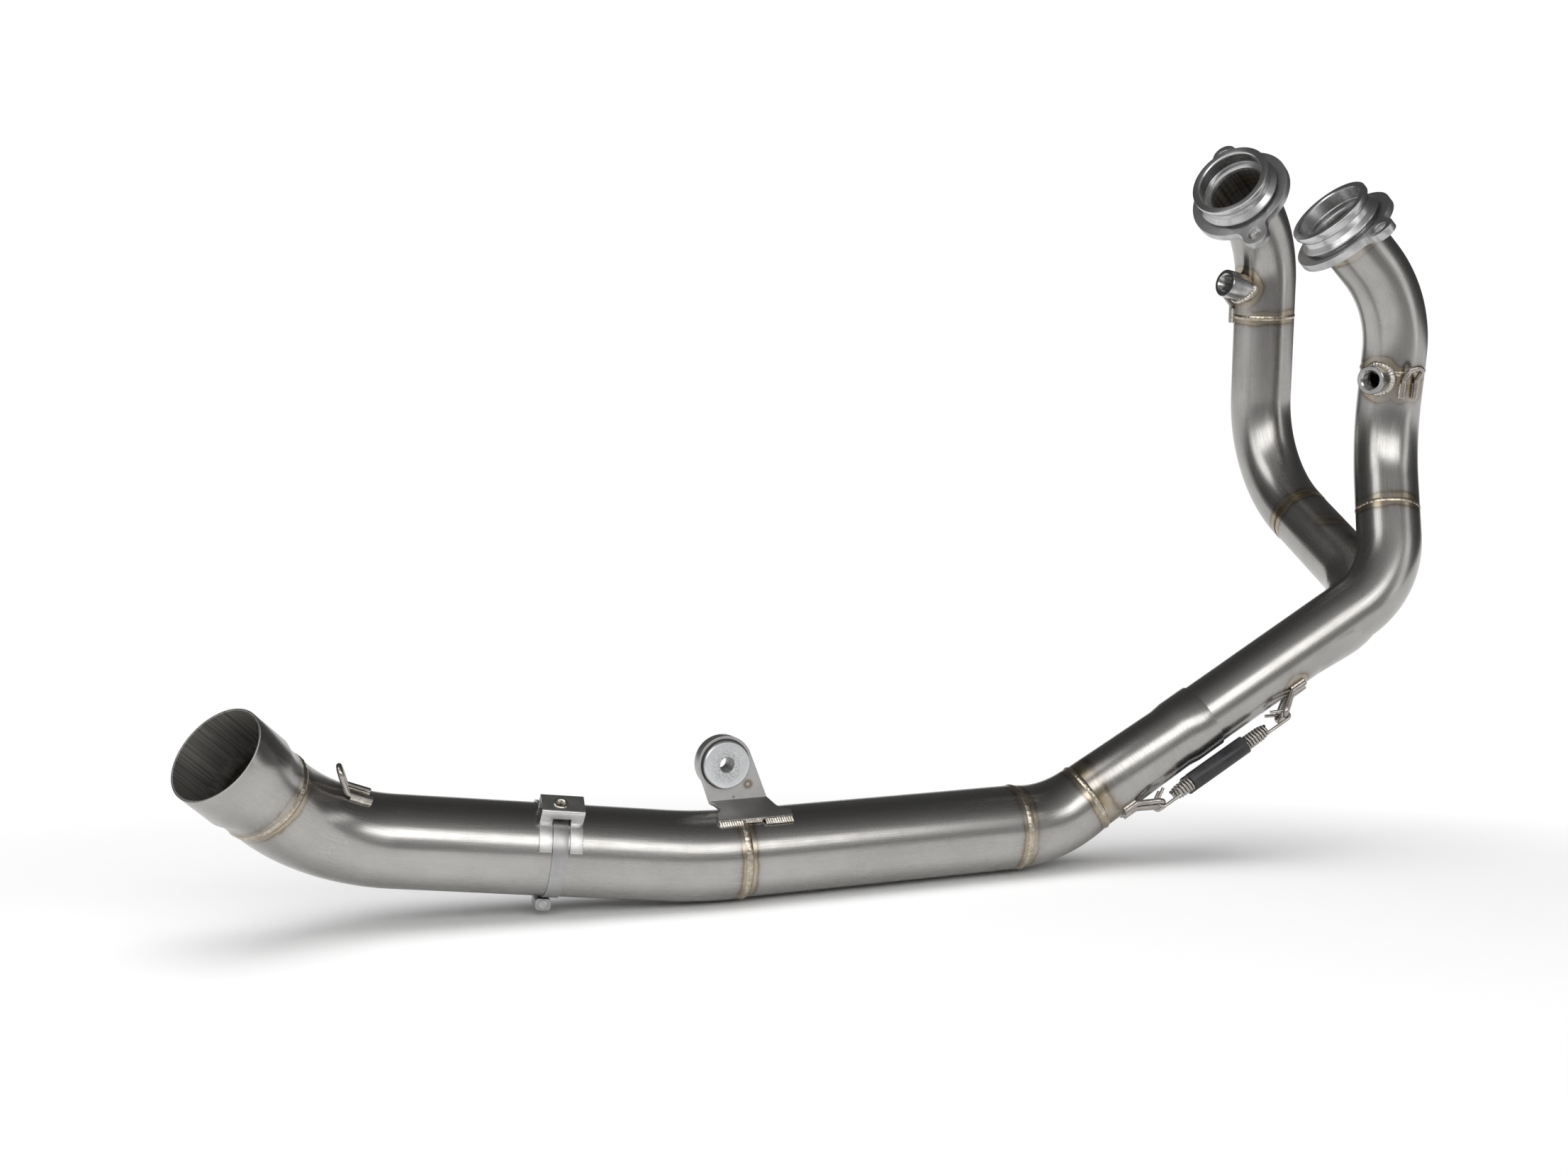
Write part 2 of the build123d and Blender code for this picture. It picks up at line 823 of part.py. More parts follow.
def outlet_hook():
    line = run_line([link_kink, rear_corner, outlet_mouth], [rear_bend])
    turn = (rear_corner - link_kink).get_angle(outlet_mouth - rear_corner)
    start = (rear_corner - link_kink).length - rear_bend * tan(radians(turn / 2))
    at = start + outlet_hook_arc
    mode = PositionMode.LENGTH
    here = line.position_at(at, position_mode=mode)
    way = line.tangent_at(at, position_mode=mode)
    out = radial(here + way, here, outlet_hook_angle)
    place = Plane(origin=here, x_dir=way, z_dir=out)
    seat_r = rear_d / 2 + outlet_hook_seat
    height = rear_d / 2 + outlet_hook_lift
    leg = outlet_hook_leg
    hook = wire_hook(place, seat_r, -leg, leg, outlet_hook_tip, height, hook_half, hook_loop_bend)
    tube = rod([link_kink, rear_corner, outlet_mouth], [rear_bend], rear_d)
    hook = hook - tube
    save("outlet_hook", hook)
    save("outlet_hook_weld", hook_welds(place, seat_r, -leg, leg - 2, hook_half, hook, tube))


def slip_sleeve_solid():
    outline = Polyline(
        (0, cone_start_at), (cone_small_d / 2, cone_start_at), (cone_large_d / 2, cone_end_at),
        (0, cone_end_at), close=True,
    )
    return turned(outline, axis_plane(merge_corner, link_corner, 0))


def spring_hooks(name, angle):
    place = spring_place(angle)
    cone = slip_sleeve_solid()
    collar = collector_skin()
    for end, spec, tube_r, tube in (
        ("upper", upper_hook, upper_tube_r, collar), ("lower", lower_hook, lower_tube_r, cone)
    ):
        leg_end, knee, tip = spec
        hook = wire_hook(place, tube_r, leg_end, knee, tip, spring_r, spring_hook_half,
                         spring_hook_bend) - tube
        save(name + "_" + end + "_spring_hook", hook)
        save(name + "_" + end + "_hook_weld",
             hook_welds(place, tube_r, leg_end, knee, spring_hook_half, hook, tube))


def near_upper_seam_weld():
    # Stops at the bung's own weld
    place = bung_plane(near_bung)
    reach = [place.origin, place.origin + place.z_dir * header_d]
    weld = seam_weld(near_top, near_knee, near_seam_at, header_d, header_d)
    return weld - rod(reach, None, bung_d + 2 * bung_weld_width)


save("near_port_spigot", port_spigot(near_mouth, near_top))
save("far_port_spigot", port_spigot(far_mouth, far_top))
save("near_port_flange", port_flange(near_mouth, near_top, near_bolt_line))
save("far_port_flange", port_flange(far_mouth, far_top, far_bolt_line))
save("near_spigot_weld", spigot_weld(near_mouth, near_top))
save("far_spigot_weld", spigot_weld(far_mouth, far_top))
save("near_upper_bend", near_upper_bend())
save("near_down_tube", near_down_tube())
save("far_upper_bend", far_upper_bend())
save("far_down_tube", far_down_tube())
save("merge_collector", merge_collector())
save("slip_sleeve", slip_sleeve())
save("elbow_pipe", elbow_pipe())
save("link_pipe", link_pipe())
save("rear_pipe", rear_pipe())
save("outlet_sleeve", outlet_sleeve())
save("near_sensor_bung", sensor_bung(near_bung))
save("far_sensor_bung", sensor_bung(far_bung))
save("near_bung_weld", bung_weld(near_bung))
save("far_bung_weld", bung_weld(far_bung))
save("near_seam_weld", near_upper_seam_weld())
save("near_low_seam_weld", seam_weld(near_knee, merge_corner, near_low_seam_at, header_d, header_d))
save("cone_seam_weld", seam_weld(merge_corner, link_corner, cone_end_at, cone_large_d, elbow_start_d))
save("elbow_seam_weld", seam_weld(link_corner, link_kink, elbow_end_at, link_d, link_d))
save("link_seam_weld", seam_weld(link_corner, link_kink, link_end_at, link_d, rear_d)
     - bracket_plate() - bracket_welds())
save("outlet_seam_weld", seam_weld(rear_corner, outlet_mouth, rear_seam_at, rear_d, outlet_neck_d))
header_hook("near_header_hook", near_hook)
far_wire, far_wire_weld = header_hook("far_header_hook", far_hook)
save("far_seam_weld", seam_weld(far_top, far_knee, far_seam_at, header_d, header_d)
     - far_wire - far_wire_weld)
outlet_hook()
spring_hooks("near", near_spring_angle)
spring_hooks("far", far_spring_angle)
save("near_spring", spring(near_spring_angle))
save("far_spring", spring(far_spring_angle))
save("near_spring_sleeve", spring_sleeve(near_spring_angle))
save("far_spring_sleeve", spring_sleeve(far_spring_angle))
save("clamp_saddle", clamp_saddle())
save("clamp_insert", clamp_insert())
save("clamp_band", clamp_band())
save("clamp_housing", screw_housing())
save("clamp_screw", band_screw())
save("bracket_plate", bracket_plate())
save("bracket_ring", bracket_ring())
save("bracket_damper", bracket_damper())
save("bracket_front_bush", front_bush())
save("bracket_rear_bush", rear_bush())
save("bracket_weld", bracket_welds())
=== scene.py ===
import bpy
import json
from math import acos, atan2, cos, pi, radians, sin, sqrt, tan
from mathutils import Matrix, Vector

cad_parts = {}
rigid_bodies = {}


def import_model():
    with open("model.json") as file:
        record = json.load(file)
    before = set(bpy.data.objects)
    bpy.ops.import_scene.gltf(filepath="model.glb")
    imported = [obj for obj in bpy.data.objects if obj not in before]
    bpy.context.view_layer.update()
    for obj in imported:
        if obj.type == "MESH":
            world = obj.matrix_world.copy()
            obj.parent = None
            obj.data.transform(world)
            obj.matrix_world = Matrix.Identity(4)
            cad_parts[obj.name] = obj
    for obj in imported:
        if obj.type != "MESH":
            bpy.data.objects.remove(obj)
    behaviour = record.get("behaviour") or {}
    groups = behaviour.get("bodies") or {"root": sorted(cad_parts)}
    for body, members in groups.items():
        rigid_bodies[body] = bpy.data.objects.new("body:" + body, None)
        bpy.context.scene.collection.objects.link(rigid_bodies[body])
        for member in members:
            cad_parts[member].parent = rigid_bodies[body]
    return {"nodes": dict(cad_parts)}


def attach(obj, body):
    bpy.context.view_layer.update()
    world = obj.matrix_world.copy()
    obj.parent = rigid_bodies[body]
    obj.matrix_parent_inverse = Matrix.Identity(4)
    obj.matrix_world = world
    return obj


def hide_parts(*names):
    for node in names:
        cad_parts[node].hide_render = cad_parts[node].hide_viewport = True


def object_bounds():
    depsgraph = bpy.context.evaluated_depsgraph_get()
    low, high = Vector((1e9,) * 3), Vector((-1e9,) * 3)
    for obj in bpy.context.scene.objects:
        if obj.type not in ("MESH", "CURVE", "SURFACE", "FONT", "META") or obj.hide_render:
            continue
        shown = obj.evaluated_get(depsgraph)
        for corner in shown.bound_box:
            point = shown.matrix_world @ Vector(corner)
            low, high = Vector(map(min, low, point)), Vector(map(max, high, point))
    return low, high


for leftover in list(bpy.data.objects):
    bpy.data.objects.remove(leftover)

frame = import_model()
cadBox = [list(corner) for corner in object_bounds()]
mm = 0.001
print("stage: frame loaded")


# Corners of the tubes' centre lines, in millimetres
line = {
    "nearMouth": (0, 0, 0),
    "nearTop": (49.9, 18.2, -52.7),
    "nearKnee": (47.9, 33.7, -138.8),
    "merge": (43.0, -5.8, -222.0),
    "link": (-169.4, -57.3, -358.6),
    "kink": (-372.1, -133.9, -359.1),
    "rear": (-566.7, -187.1, -334.9),
    "outlet": (-602.7, -239.5, -281.0),
    "farMouth": (-48.1, 50.9, 23.1),
    "farTop": (-15.0, 86.8, -7.0),
    "farKnee": (-11.4, 109.8, -160.0),
}
line = {name: Vector(place) * mm for name, place in line.items()}

# Outer radii of the tubes and their wall, in millimetres like every size below
headerR = 19.05
farR = 18.7
elbowR = 20.75
linkR = 24.25
rearR = 24.75
tubeWall = 1.2

# Ring welds: run and step along it, radius before and after, width and height of the bead
seams = {
    "near_low_seam_weld": ("nearKnee", "merge", 45, headerR, headerR, 2.2, 0.2),
    "far_seam_weld": ("farTop", "farKnee", 52, headerR, headerR, 2.8, 0.3),
    "near_seam_weld": ("nearTop", "nearKnee", 41, headerR, headerR, 2.8, 0.3),
    "cone_seam_weld": ("merge", "link", 231, 20.5, elbowR, 3.4, 0.45),
    "elbow_seam_weld": ("link", "kink", 24.1, linkR, linkR, 3.4, 0.45),
    "link_seam_weld": ("link", "kink", 194.8, linkR, rearR, 4.0, 0.5),
    "outlet_seam_weld": ("rear", "outlet", 44, rearR, 25, 3.4, 0.45),
}
farJoint = 55  # the far leg's low joint has no bead
spigotSeam = 23


def towards(a, b, step):
    return a + (b - a).normalized() * step * mm


def seamAt(name):
    start, end, step = seams[name][:3]
    return towards(line[start], line[end], step)


def outFrom(a, b, turn):
    # square to the run a-b, turned from the side that faces the viewer
    d = (b - a).normalized()
    front = Vector((0, -1, 0))
    front = (front - d * front.dot(d)).normalized()
    return front * cos(radians(turn)) + d.cross(front) * sin(radians(turn))


def axesAt(point, x, y, z):
    return Matrix.Translation(point) @ Matrix((x, y, z)).transposed().to_4x4()


def placeOn(a, b, step, turn=0):
    # Z along the run, X out of it at the turn
    z = (b - a).normalized()
    x = outFrom(a, b, turn)
    return axesAt(towards(a, b, step), x, z.cross(x), z)


def hookPlace(a, b, turn):
    # X along the run, Z out of it at the turn
    x = (b - a).normalized()
    z = outFrom(a, b, turn)
    return axesAt(a, x, z.cross(x), z)


way = (line["link"] - line["merge"]).normalized()
up = way.cross(Vector((0, 1, 0))).normalized()
line["mergeFar"] = towards(line["merge"], line["link"], 12.6) + up * 5.1 * mm


# Edit-mode helpers
def deselect():
    if bpy.context.mode != "OBJECT":
        bpy.ops.object.mode_set(mode="OBJECT")
    bpy.ops.object.select_all(action="DESELECT")


def pick(piece):
    deselect()
    piece.select_set(True)
    bpy.context.view_layer.objects.active = piece


def edit(piece):
    pick(piece)
    bpy.ops.object.mode_set(mode="EDIT")


def doneEditing():
    bpy.ops.object.mode_set(mode="OBJECT")


def applyAll(piece):
    pick(piece)
    for modifier in list(piece.modifiers):
        bpy.ops.object.modifier_apply(modifier=modifier.name)


def settle(piece):
    pick(piece)
    bpy.ops.object.transform_apply(location=True, rotation=True, scale=True)


def finishPiece(piece, node, material, smooth=35, name=None):
    piece.data.materials.append(material)
    pick(piece)
    piece.name = piece.data.name = name or node + "_look"
    bpy.ops.object.shade_smooth_by_angle(angle=radians(smooth))
    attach(piece, "root")
    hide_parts(node)


def marks(piece, **kinds):
    # all are made before any is filled, because a new one moves the others
    for name, kind in kinds.items():
        piece.data.attributes.new(name, kind, "POINT")
    return [piece.data.attributes[name] for name in kinds]


def bevelEdges(piece, width, segments, angle):
    bevel = piece.modifiers.new("edge", "BEVEL")
    bevel.width = width * mm
    bevel.segments = segments
    bevel.limit_method = "ANGLE"
    bevel.angle_limit = radians(angle)
    applyAll(piece)


def ringStart(radius, centre, way, corners):
    deselect()
    turn = way.to_track_quat("Z", "Y").to_euler()
    bpy.ops.mesh.primitive_circle_add(vertices=corners, radius=radius, location=centre, rotation=turn)
    piece = bpy.context.object
    settle(piece)
    edit(piece)
    bpy.ops.mesh.select_all(action="SELECT")
    return piece


def routeOf(points, bends):
    # straight runs and tangent bends of a tube, each with where it starts
    runs = []
    here = points[0]
    ref = outFrom(points[0], points[1], 0)
    length = 0
    for i in range(1, len(points) - 1):
        before = (points[i] - points[i - 1]).normalized()
        after = (points[i + 1] - points[i]).normalized()
        turn = acos(max(-1, min(1, before.dot(after))))
        radius = bends[i - 1] * mm
        reach = radius * tan(turn / 2)
        start = points[i] - before * reach
        run = (start - here).length
        runs.append({"kind": "run", "from": here, "way": before, "length": run, "ref": ref, "at": length})
        length += run
        side = (after - before * before.dot(after)).normalized()
        axis = before.cross(after).normalized()
        runs.append({"kind": "bend", "from": start, "way": before, "centre": start + side * radius,
                     "axis": axis, "turn": turn, "radius": radius, "length": radius * turn,
                     "ref": ref, "at": length})
        length += radius * turn
        ref = Matrix.Rotation(turn, 3, axis) @ ref
        here = points[i] + after * reach
    last = points[-1] - here
    runs.append({"kind": "run", "from": here, "way": last.normalized(), "length": last.length,
                 "ref": ref, "at": length})
    return runs


def onRoute(runs, point):
    # nearest place on the route: centre, way, reference side and distance along it
    best = None
    for run in runs:
        if run["kind"] == "run":
            step = max(0, min(run["length"], (point - run["from"]).dot(run["way"])))
            centre = run["from"] + run["way"] * step
            here = (centre, run["way"], run["ref"], run["at"] + step)
        else:
            arm = point - run["centre"]
            arm -= run["axis"] * arm.dot(run["axis"])
            first = run["from"] - run["centre"]
            angle = atan2(run["axis"].dot(first.cross(arm)), first.dot(arm))
            angle = max(0, min(run["turn"], angle))
            spin = Matrix.Rotation(angle, 3, run["axis"])
            here = (run["centre"] + spin @ first, spin @ run["way"], spin @ run["ref"],
                    run["at"] + run["radius"] * angle)
        gap = (point - here[0]).length
        if best is None or gap < best[0]:
            best = (gap, here)
    return best[1]


def straightened(point, here, radius):
    # the same place on a straightened tube, for grain that follows the bends
    centre, way, ref, step = here
    arm = point - centre
    angle = atan2(arm.dot(way.cross(ref)), arm.dot(ref))
    return radius * cos(angle), radius * sin(angle), step


def writeSurface(piece, runs, radius):
    own, inside = marks(piece, own="FLOAT_VECTOR", inside="FLOAT")
    for i, vertex in enumerate(piece.data.vertices):
        here = onRoute(runs, vertex.co)
        # inner faces are marked for painted shade and more roughness
        inside.data[i].value = 1 if vertex.normal.dot(vertex.co - here[0]) < 0 else 0
        own.data[i].vector = straightened(vertex.co, here, radius)


def tubeAlong(points, bends, radius, corners=96, stride=3.0, endRadius=0, capped=False):
    runs = routeOf(points, bends)
    piece = ringStart(radius, runs[0]["from"], runs[0]["way"], corners)
    for run in runs:
        if run["length"] < 1e-6:
            continue
        if run["kind"] == "run":
            steps = max(1, round(run["length"] / (stride * mm)))
            for step in range(steps):
                bpy.ops.mesh.extrude_region_move(
                    TRANSFORM_OT_translate={"value": run["way"] * run["length"] / steps})
        else:
            steps = max(4, round(run["length"] / (stride * mm)))
            bpy.ops.mesh.spin(steps=steps, angle=run["turn"], center=run["centre"],
                              axis=-run["axis"], use_auto_merge=False)
    if capped:
        bpy.ops.mesh.edge_face_add()
        bpy.ops.mesh.select_all(action="DESELECT")
        doneEditing()
        for vertex in piece.data.vertices:
            vertex.select = (vertex.co - runs[0]["from"]).length < radius * 1.01
        edit(piece)
        bpy.ops.mesh.edge_face_add()
    bpy.ops.mesh.select_all(action="SELECT")
    bpy.ops.mesh.remove_doubles(threshold=0.00001)
    if capped:
        bpy.ops.mesh.normals_make_consistent(inside=False)
    doneEditing()
    if endRadius:
        total = runs[-1]["at"] + runs[-1]["length"]
        for vertex in piece.data.vertices:
            centre, way, ref, step = onRoute(runs, vertex.co)
            grow = 1 + (endRadius / radius - 1) * step / total
            vertex.co = centre + (vertex.co - centre) * grow
    face = piece.data.polygons[len(piece.data.polygons) // 2]
    centre = onRoute(runs, face.center)[0]
    if face.normal.dot(face.center - centre) < 0:
        edit(piece)
        bpy.ops.mesh.select_all(action="SELECT")
        bpy.ops.mesh.flip_normals()
        doneEditing()
    return piece, runs


def wallInside(piece, wall):
    solid = piece.modifiers.new("wall", "SOLIDIFY")
    solid.thickness = wall * mm
    solid.offset = -1
    solid.use_even_offset = True
    applyAll(piece)


def cutWith(piece, tool, kind="DIFFERENCE"):
    cut = piece.modifiers.new("cut", "BOOLEAN")
    cut.operation = kind
    cut.solver = "EXACT"
    cut.object = tool
    applyAll(piece)
    bpy.data.objects.remove(tool)


def turnedPiece(outline, place, corners=120, edge=0.15, darkFrom=None, darkness=1.0):
    # rings of (radius, height) drawn one after another and closed; bores past darkFrom get painted shade
    deselect()
    bpy.ops.mesh.primitive_circle_add(vertices=corners, radius=outline[0][0] * mm,
                                      location=(0, 0, outline[0][1] * mm))
    piece = bpy.context.object
    settle(piece)
    edit(piece)
    bpy.ops.mesh.select_all(action="SELECT")
    r, z = outline[0]
    for nextR, nextZ in outline[1:] + outline[:1]:
        bpy.ops.mesh.extrude_region_move(TRANSFORM_OT_translate={"value": (0, 0, (nextZ - z) * mm)})
        if abs(nextR - r) > 1e-6:
            grow = nextR / r
            bpy.ops.transform.resize(value=(grow, grow, 1), center_override=(0, 0, nextZ * mm))
        r, z = nextR, nextZ
    bpy.ops.mesh.select_all(action="SELECT")
    bpy.ops.mesh.remove_doubles(threshold=0.000002)
    bpy.ops.mesh.normals_make_consistent(inside=False)
    doneEditing()
    if edge:
        bevelEdges(piece, edge, 2, 25)
    own, inside, around = marks(piece, own="FLOAT_VECTOR", inside="FLOAT", around="FLOAT_VECTOR")
    for i, vertex in enumerate(piece.data.vertices):
        own.data[i].vector = vertex.co
        around.data[i].vector = place.to_3x3() @ Vector((-vertex.co.y, vertex.co.x, 0)).normalized()
        facesAxis = vertex.normal.x * vertex.co.x + vertex.normal.y * vertex.co.y < 0
        if darkFrom is not None and facesAxis and vertex.co.z > darkFrom * mm:
            inside.data[i].value = darkness
    piece.matrix_world = place
    settle(piece)
    return piece


def sheetOutline(outer, wall):
    # the outer face of a turned sheet, and the same face one wall further in
    inner = [(r - wall, z) for r, z in outer]
    return inner[:1] + outer + inner[:0:-1]


def copyOfNode(node, edge=0.4):
    piece = bpy.data.objects.new(node + "_look", frame["nodes"][node].data.copy())
    bpy.context.scene.collection.objects.link(piece)
    edit(piece)
    bpy.ops.mesh.select_all(action="SELECT")
    bpy.ops.mesh.remove_doubles(threshold=0.000001)
    bpy.ops.mesh.customdata_custom_splitnormals_clear()
    bpy.ops.mesh.dissolve_limited(angle_limit=radians(1))
    doneEditing()
    piece.data.materials.clear()
    if edge:
        bevelEdges(piece, edge, 3, 32)
    return piece


def meltedCopy(node, grain=0.3, passes=6):
    # weld metal: the solid rebuilt in small cells and smoothed
    piece = copyOfNode(node, edge=0)
    edit(piece)
    bpy.ops.mesh.select_all(action="SELECT")
    bpy.ops.mesh.quads_convert_to_tris()
    doneEditing()
    cells = piece.modifiers.new("cells", "REMESH")
    cells.mode = "VOXEL"
    cells.voxel_size = grain * mm
    soft = piece.modifiers.new("soft", "SMOOTH")
    soft.factor = 0.5
    soft.iterations = passes
    applyAll(piece)
    return piece


# Shader node helpers
class Nodes:
    def __init__(self, tree):
        self.tree = tree
        self.column = 0

    def add(self, kind, **values):
        node = self.tree.nodes.new(kind)
        node.location = (self.column, -(len(self.tree.nodes) % 6) * 180)
        self.column += 60
        for key, value in values.items():
            setattr(node, key, value)
        return node

    def join(self, source, target):
        self.tree.links.new(source, target)

    def feed(self, value, socket):
        # a link, or a number, vector or colour
        if isinstance(value, tuple) and socket.type == "RGBA":
            value = (*value, 1)
        if isinstance(value, (int, float, tuple)):
            socket.default_value = value
        elif value is not None:
            self.join(value, socket)

    def math(self, operation, a, b=None):
        node = self.add("ShaderNodeMath", operation=operation)
        self.feed(a, node.inputs[0])
        self.feed(b, node.inputs[1])
        return node.outputs[0]

    def mix(self, factor, a, b, blend="MIX"):
        node = self.add("ShaderNodeMix", data_type="RGBA", blend_type=blend)
        for i, value in ((0, factor), (6, a), (7, b)):
            self.feed(value, node.inputs[i])
        return node.outputs[2]

    def noise(self, vector, scale, detail=3, stretch=None):
        if stretch:
            mapping = self.add("ShaderNodeMapping")
            mapping.inputs["Scale"].default_value = stretch
            self.join(vector, mapping.inputs["Vector"])
            vector = mapping.outputs[0]
        node = self.add("ShaderNodeTexNoise")
        self.join(vector, node.inputs["Vector"])
        self.feed(scale, node.inputs["Scale"])
        node.inputs["Detail"].default_value = detail
        return node.outputs["Fac"]

    def range(self, value, a, b, toA=0.0, toB=1.0):
        node = self.add("ShaderNodeMapRange")
        self.join(value, node.inputs["Value"])
        for name, number in (("From Min", a), ("From Max", b), ("To Min", toA), ("To Max", toB)):
            node.inputs[name].default_value = number
        return node.outputs[0]

    def ramp(self, value, stops):
        node = self.add("ShaderNodeValToRGB")
        self.join(value, node.inputs[0])
        points = node.color_ramp.elements
        while len(points) < len(stops):
            points.new(0.5)
        for point, (place, colour) in zip(points, stops):
            point.position = place
            point.color = (*colour, 1)
        return node.outputs[0]

    def bump(self, height, strength, distance):
        node = self.add("ShaderNodeBump")
        node.inputs["Strength"].default_value = strength
        node.inputs["Distance"].default_value = distance
        self.join(height, node.inputs["Height"])
        return node.outputs[0]


def newGroup(name, inputs, outputs):
    tree = bpy.data.node_groups.new(name, "ShaderNodeTree")
    for socket, kind, value in inputs:
        made = tree.interface.new_socket(name=socket, in_out="INPUT", socket_type=kind)
        if value is not None:
            made.default_value = value
    for socket, kind in outputs:
        tree.interface.new_socket(name=socket, in_out="OUTPUT", socket_type=kind)
    nodes = Nodes(tree)
    entry = nodes.add("NodeGroupInput")
    leave = nodes.add("NodeGroupOutput")
    return tree, nodes, entry.outputs, leave.inputs


def buildGrain():
    # fine lines that run round or along a piece, and softer cloudy patches
    tree, n, given, result = newGroup(
        "metalGrain",
        [("Vector", "NodeSocketVector", None), ("Stretch", "NodeSocketVector", (1, 1, 1)),
         ("Fineness", "NodeSocketFloat", 900.0), ("Cloud Size", "NodeSocketFloat", 40.0)],
        [("Lines", "NodeSocketFloat"), ("Clouds", "NodeSocketFloat"), ("Scratches", "NodeSocketFloat")])
    scaled = n.add("ShaderNodeVectorMath", operation="MULTIPLY")
    n.join(given["Vector"], scaled.inputs[0])
    n.join(given["Stretch"], scaled.inputs[1])
    n.join(n.noise(scaled.outputs[0], given["Fineness"], 4), result["Lines"])
    cloud = n.add("ShaderNodeTexNoise")
    n.join(given["Vector"], cloud.inputs["Vector"])
    n.join(given["Cloud Size"], cloud.inputs["Scale"])
    cloud.inputs["Detail"].default_value = 5
    cloud.inputs["Roughness"].default_value = 0.62
    n.join(cloud.outputs["Fac"], result["Clouds"])
    turned = n.add("ShaderNodeMapping")
    turned.inputs["Rotation"].default_value = (0.5, 0.9, 0.3)
    turned.inputs["Scale"].default_value = (1, 9, 2)
    n.join(given["Vector"], turned.inputs["Vector"])
    cells = n.add("ShaderNodeTexVoronoi", feature="DISTANCE_TO_EDGE")
    n.join(turned.outputs[0], cells.inputs["Vector"])
    cells.inputs["Scale"].default_value = 34
    thin = n.range(cells.outputs["Distance"], 0.0, 0.012, 1, 0)
    few = n.range(n.noise(given["Vector"], 55, 2), 0.58, 0.66)
    n.join(n.math("MULTIPLY", thin, few), result["Scratches"])
    return tree


def buildTint():
    # oxide colours that fade away from a weld
    tree, n, given, result = newGroup(
        "heatTint",
        [("Base Color", "NodeSocketColor", (0.6, 0.6, 0.6, 1)), ("Distance", "NodeSocketFloat", 1.0),
         ("Vector", "NodeSocketVector", None), ("Strength", "NodeSocketFloat", 0.6)],
        [("Color", "NodeSocketColor"), ("Mask", "NodeSocketFloat")])
    wobble = n.noise(given["Vector"], 90, 3)
    moved = n.math("ADD", given["Distance"], n.range(wobble, 0.3, 0.7, -0.9, 0.9))
    band = n.range(moved, 0.0, 14.0)
    tint = n.ramp(band, [(0.0, (0.56, 0.43, 0.30)), (0.10, (0.90, 0.76, 0.54)), (0.24, (0.94, 0.85, 0.70)),
                         (0.33, (0.42, 0.31, 0.22)), (0.39, (0.74, 0.66, 0.58)), (0.50, (0.88, 0.88, 0.91)),
                         (1.0, (0.98, 0.98, 0.98))])
    broken = n.range(n.noise(given["Vector"], 70, 3), 0.35, 0.60, 0.35, 1.0)
    fade = n.range(moved, 3.0, 13.0, 1.0, 0.0)
    amount = n.math("MULTIPLY", n.math("MULTIPLY", fade, given["Strength"]), broken)
    tinted = n.mix(amount, given["Base Color"], tint, "MULTIPLY")
    n.join(tinted, result["Color"])
    n.join(amount, result["Mask"])
    return tree


grainGroup = buildGrain()
tintGroup = buildTint()


def groupIn(n, tree, **values):
    node = n.add("ShaderNodeGroup")
    node.node_tree = tree
    for socket in node.inputs:
        n.feed(values.get(socket.name.replace(" ", "")), socket)
    return node.outputs


def coordinates(n, source):
    if source == "object":
        return n.add("ShaderNodeTexCoord").outputs["Object"]
    return n.add("ShaderNodeAttribute", attribute_name=source).outputs["Vector"]


def newMaterial(name):
    material = bpy.data.materials.new(name)
    material.use_nodes = True
    return material, Nodes(material.node_tree), material.node_tree.nodes["Principled BSDF"]


# tones: grain lines, painted shade for the insides of tubes and bores, and scratches
tones = {"grainLine": (0.24, 0.23, 0.22), "soot": (0.14, 0.125, 0.11), "scratch": (0.95, 0.95, 0.95)}
spotRings = [(0.0, (0.95, 0.95, 0.95)), (0.30, (0.80, 0.78, 0.76)), (0.42, (0.30, 0.24, 0.19)),
             (0.55, (0.66, 0.54, 0.42)), (1.0, (1.0, 1.0, 1.0))]


def spotMark(n, where, colour, centre, reach):
    # burnt ring of a spot weld, on both faces of the sheet
    flat = n.add("ShaderNodeVectorMath", operation="MULTIPLY")
    n.join(where, flat.inputs[0])
    flat.inputs[1].default_value = (1, 0, 1)
    gap = n.add("ShaderNodeVectorMath", operation="DISTANCE")
    n.join(flat.outputs[0], gap.inputs[0])
    gap.inputs[1].default_value = (centre.x, 0, centre.z)
    burnt = n.ramp(n.range(gap.outputs["Value"], 0, reach * mm), spotRings)
    return n.mix(1.0, colour, burnt, "MULTIPLY")


plain = {"source": "object", "stretch": (1, 1, 1), "lineTone": 0.10}


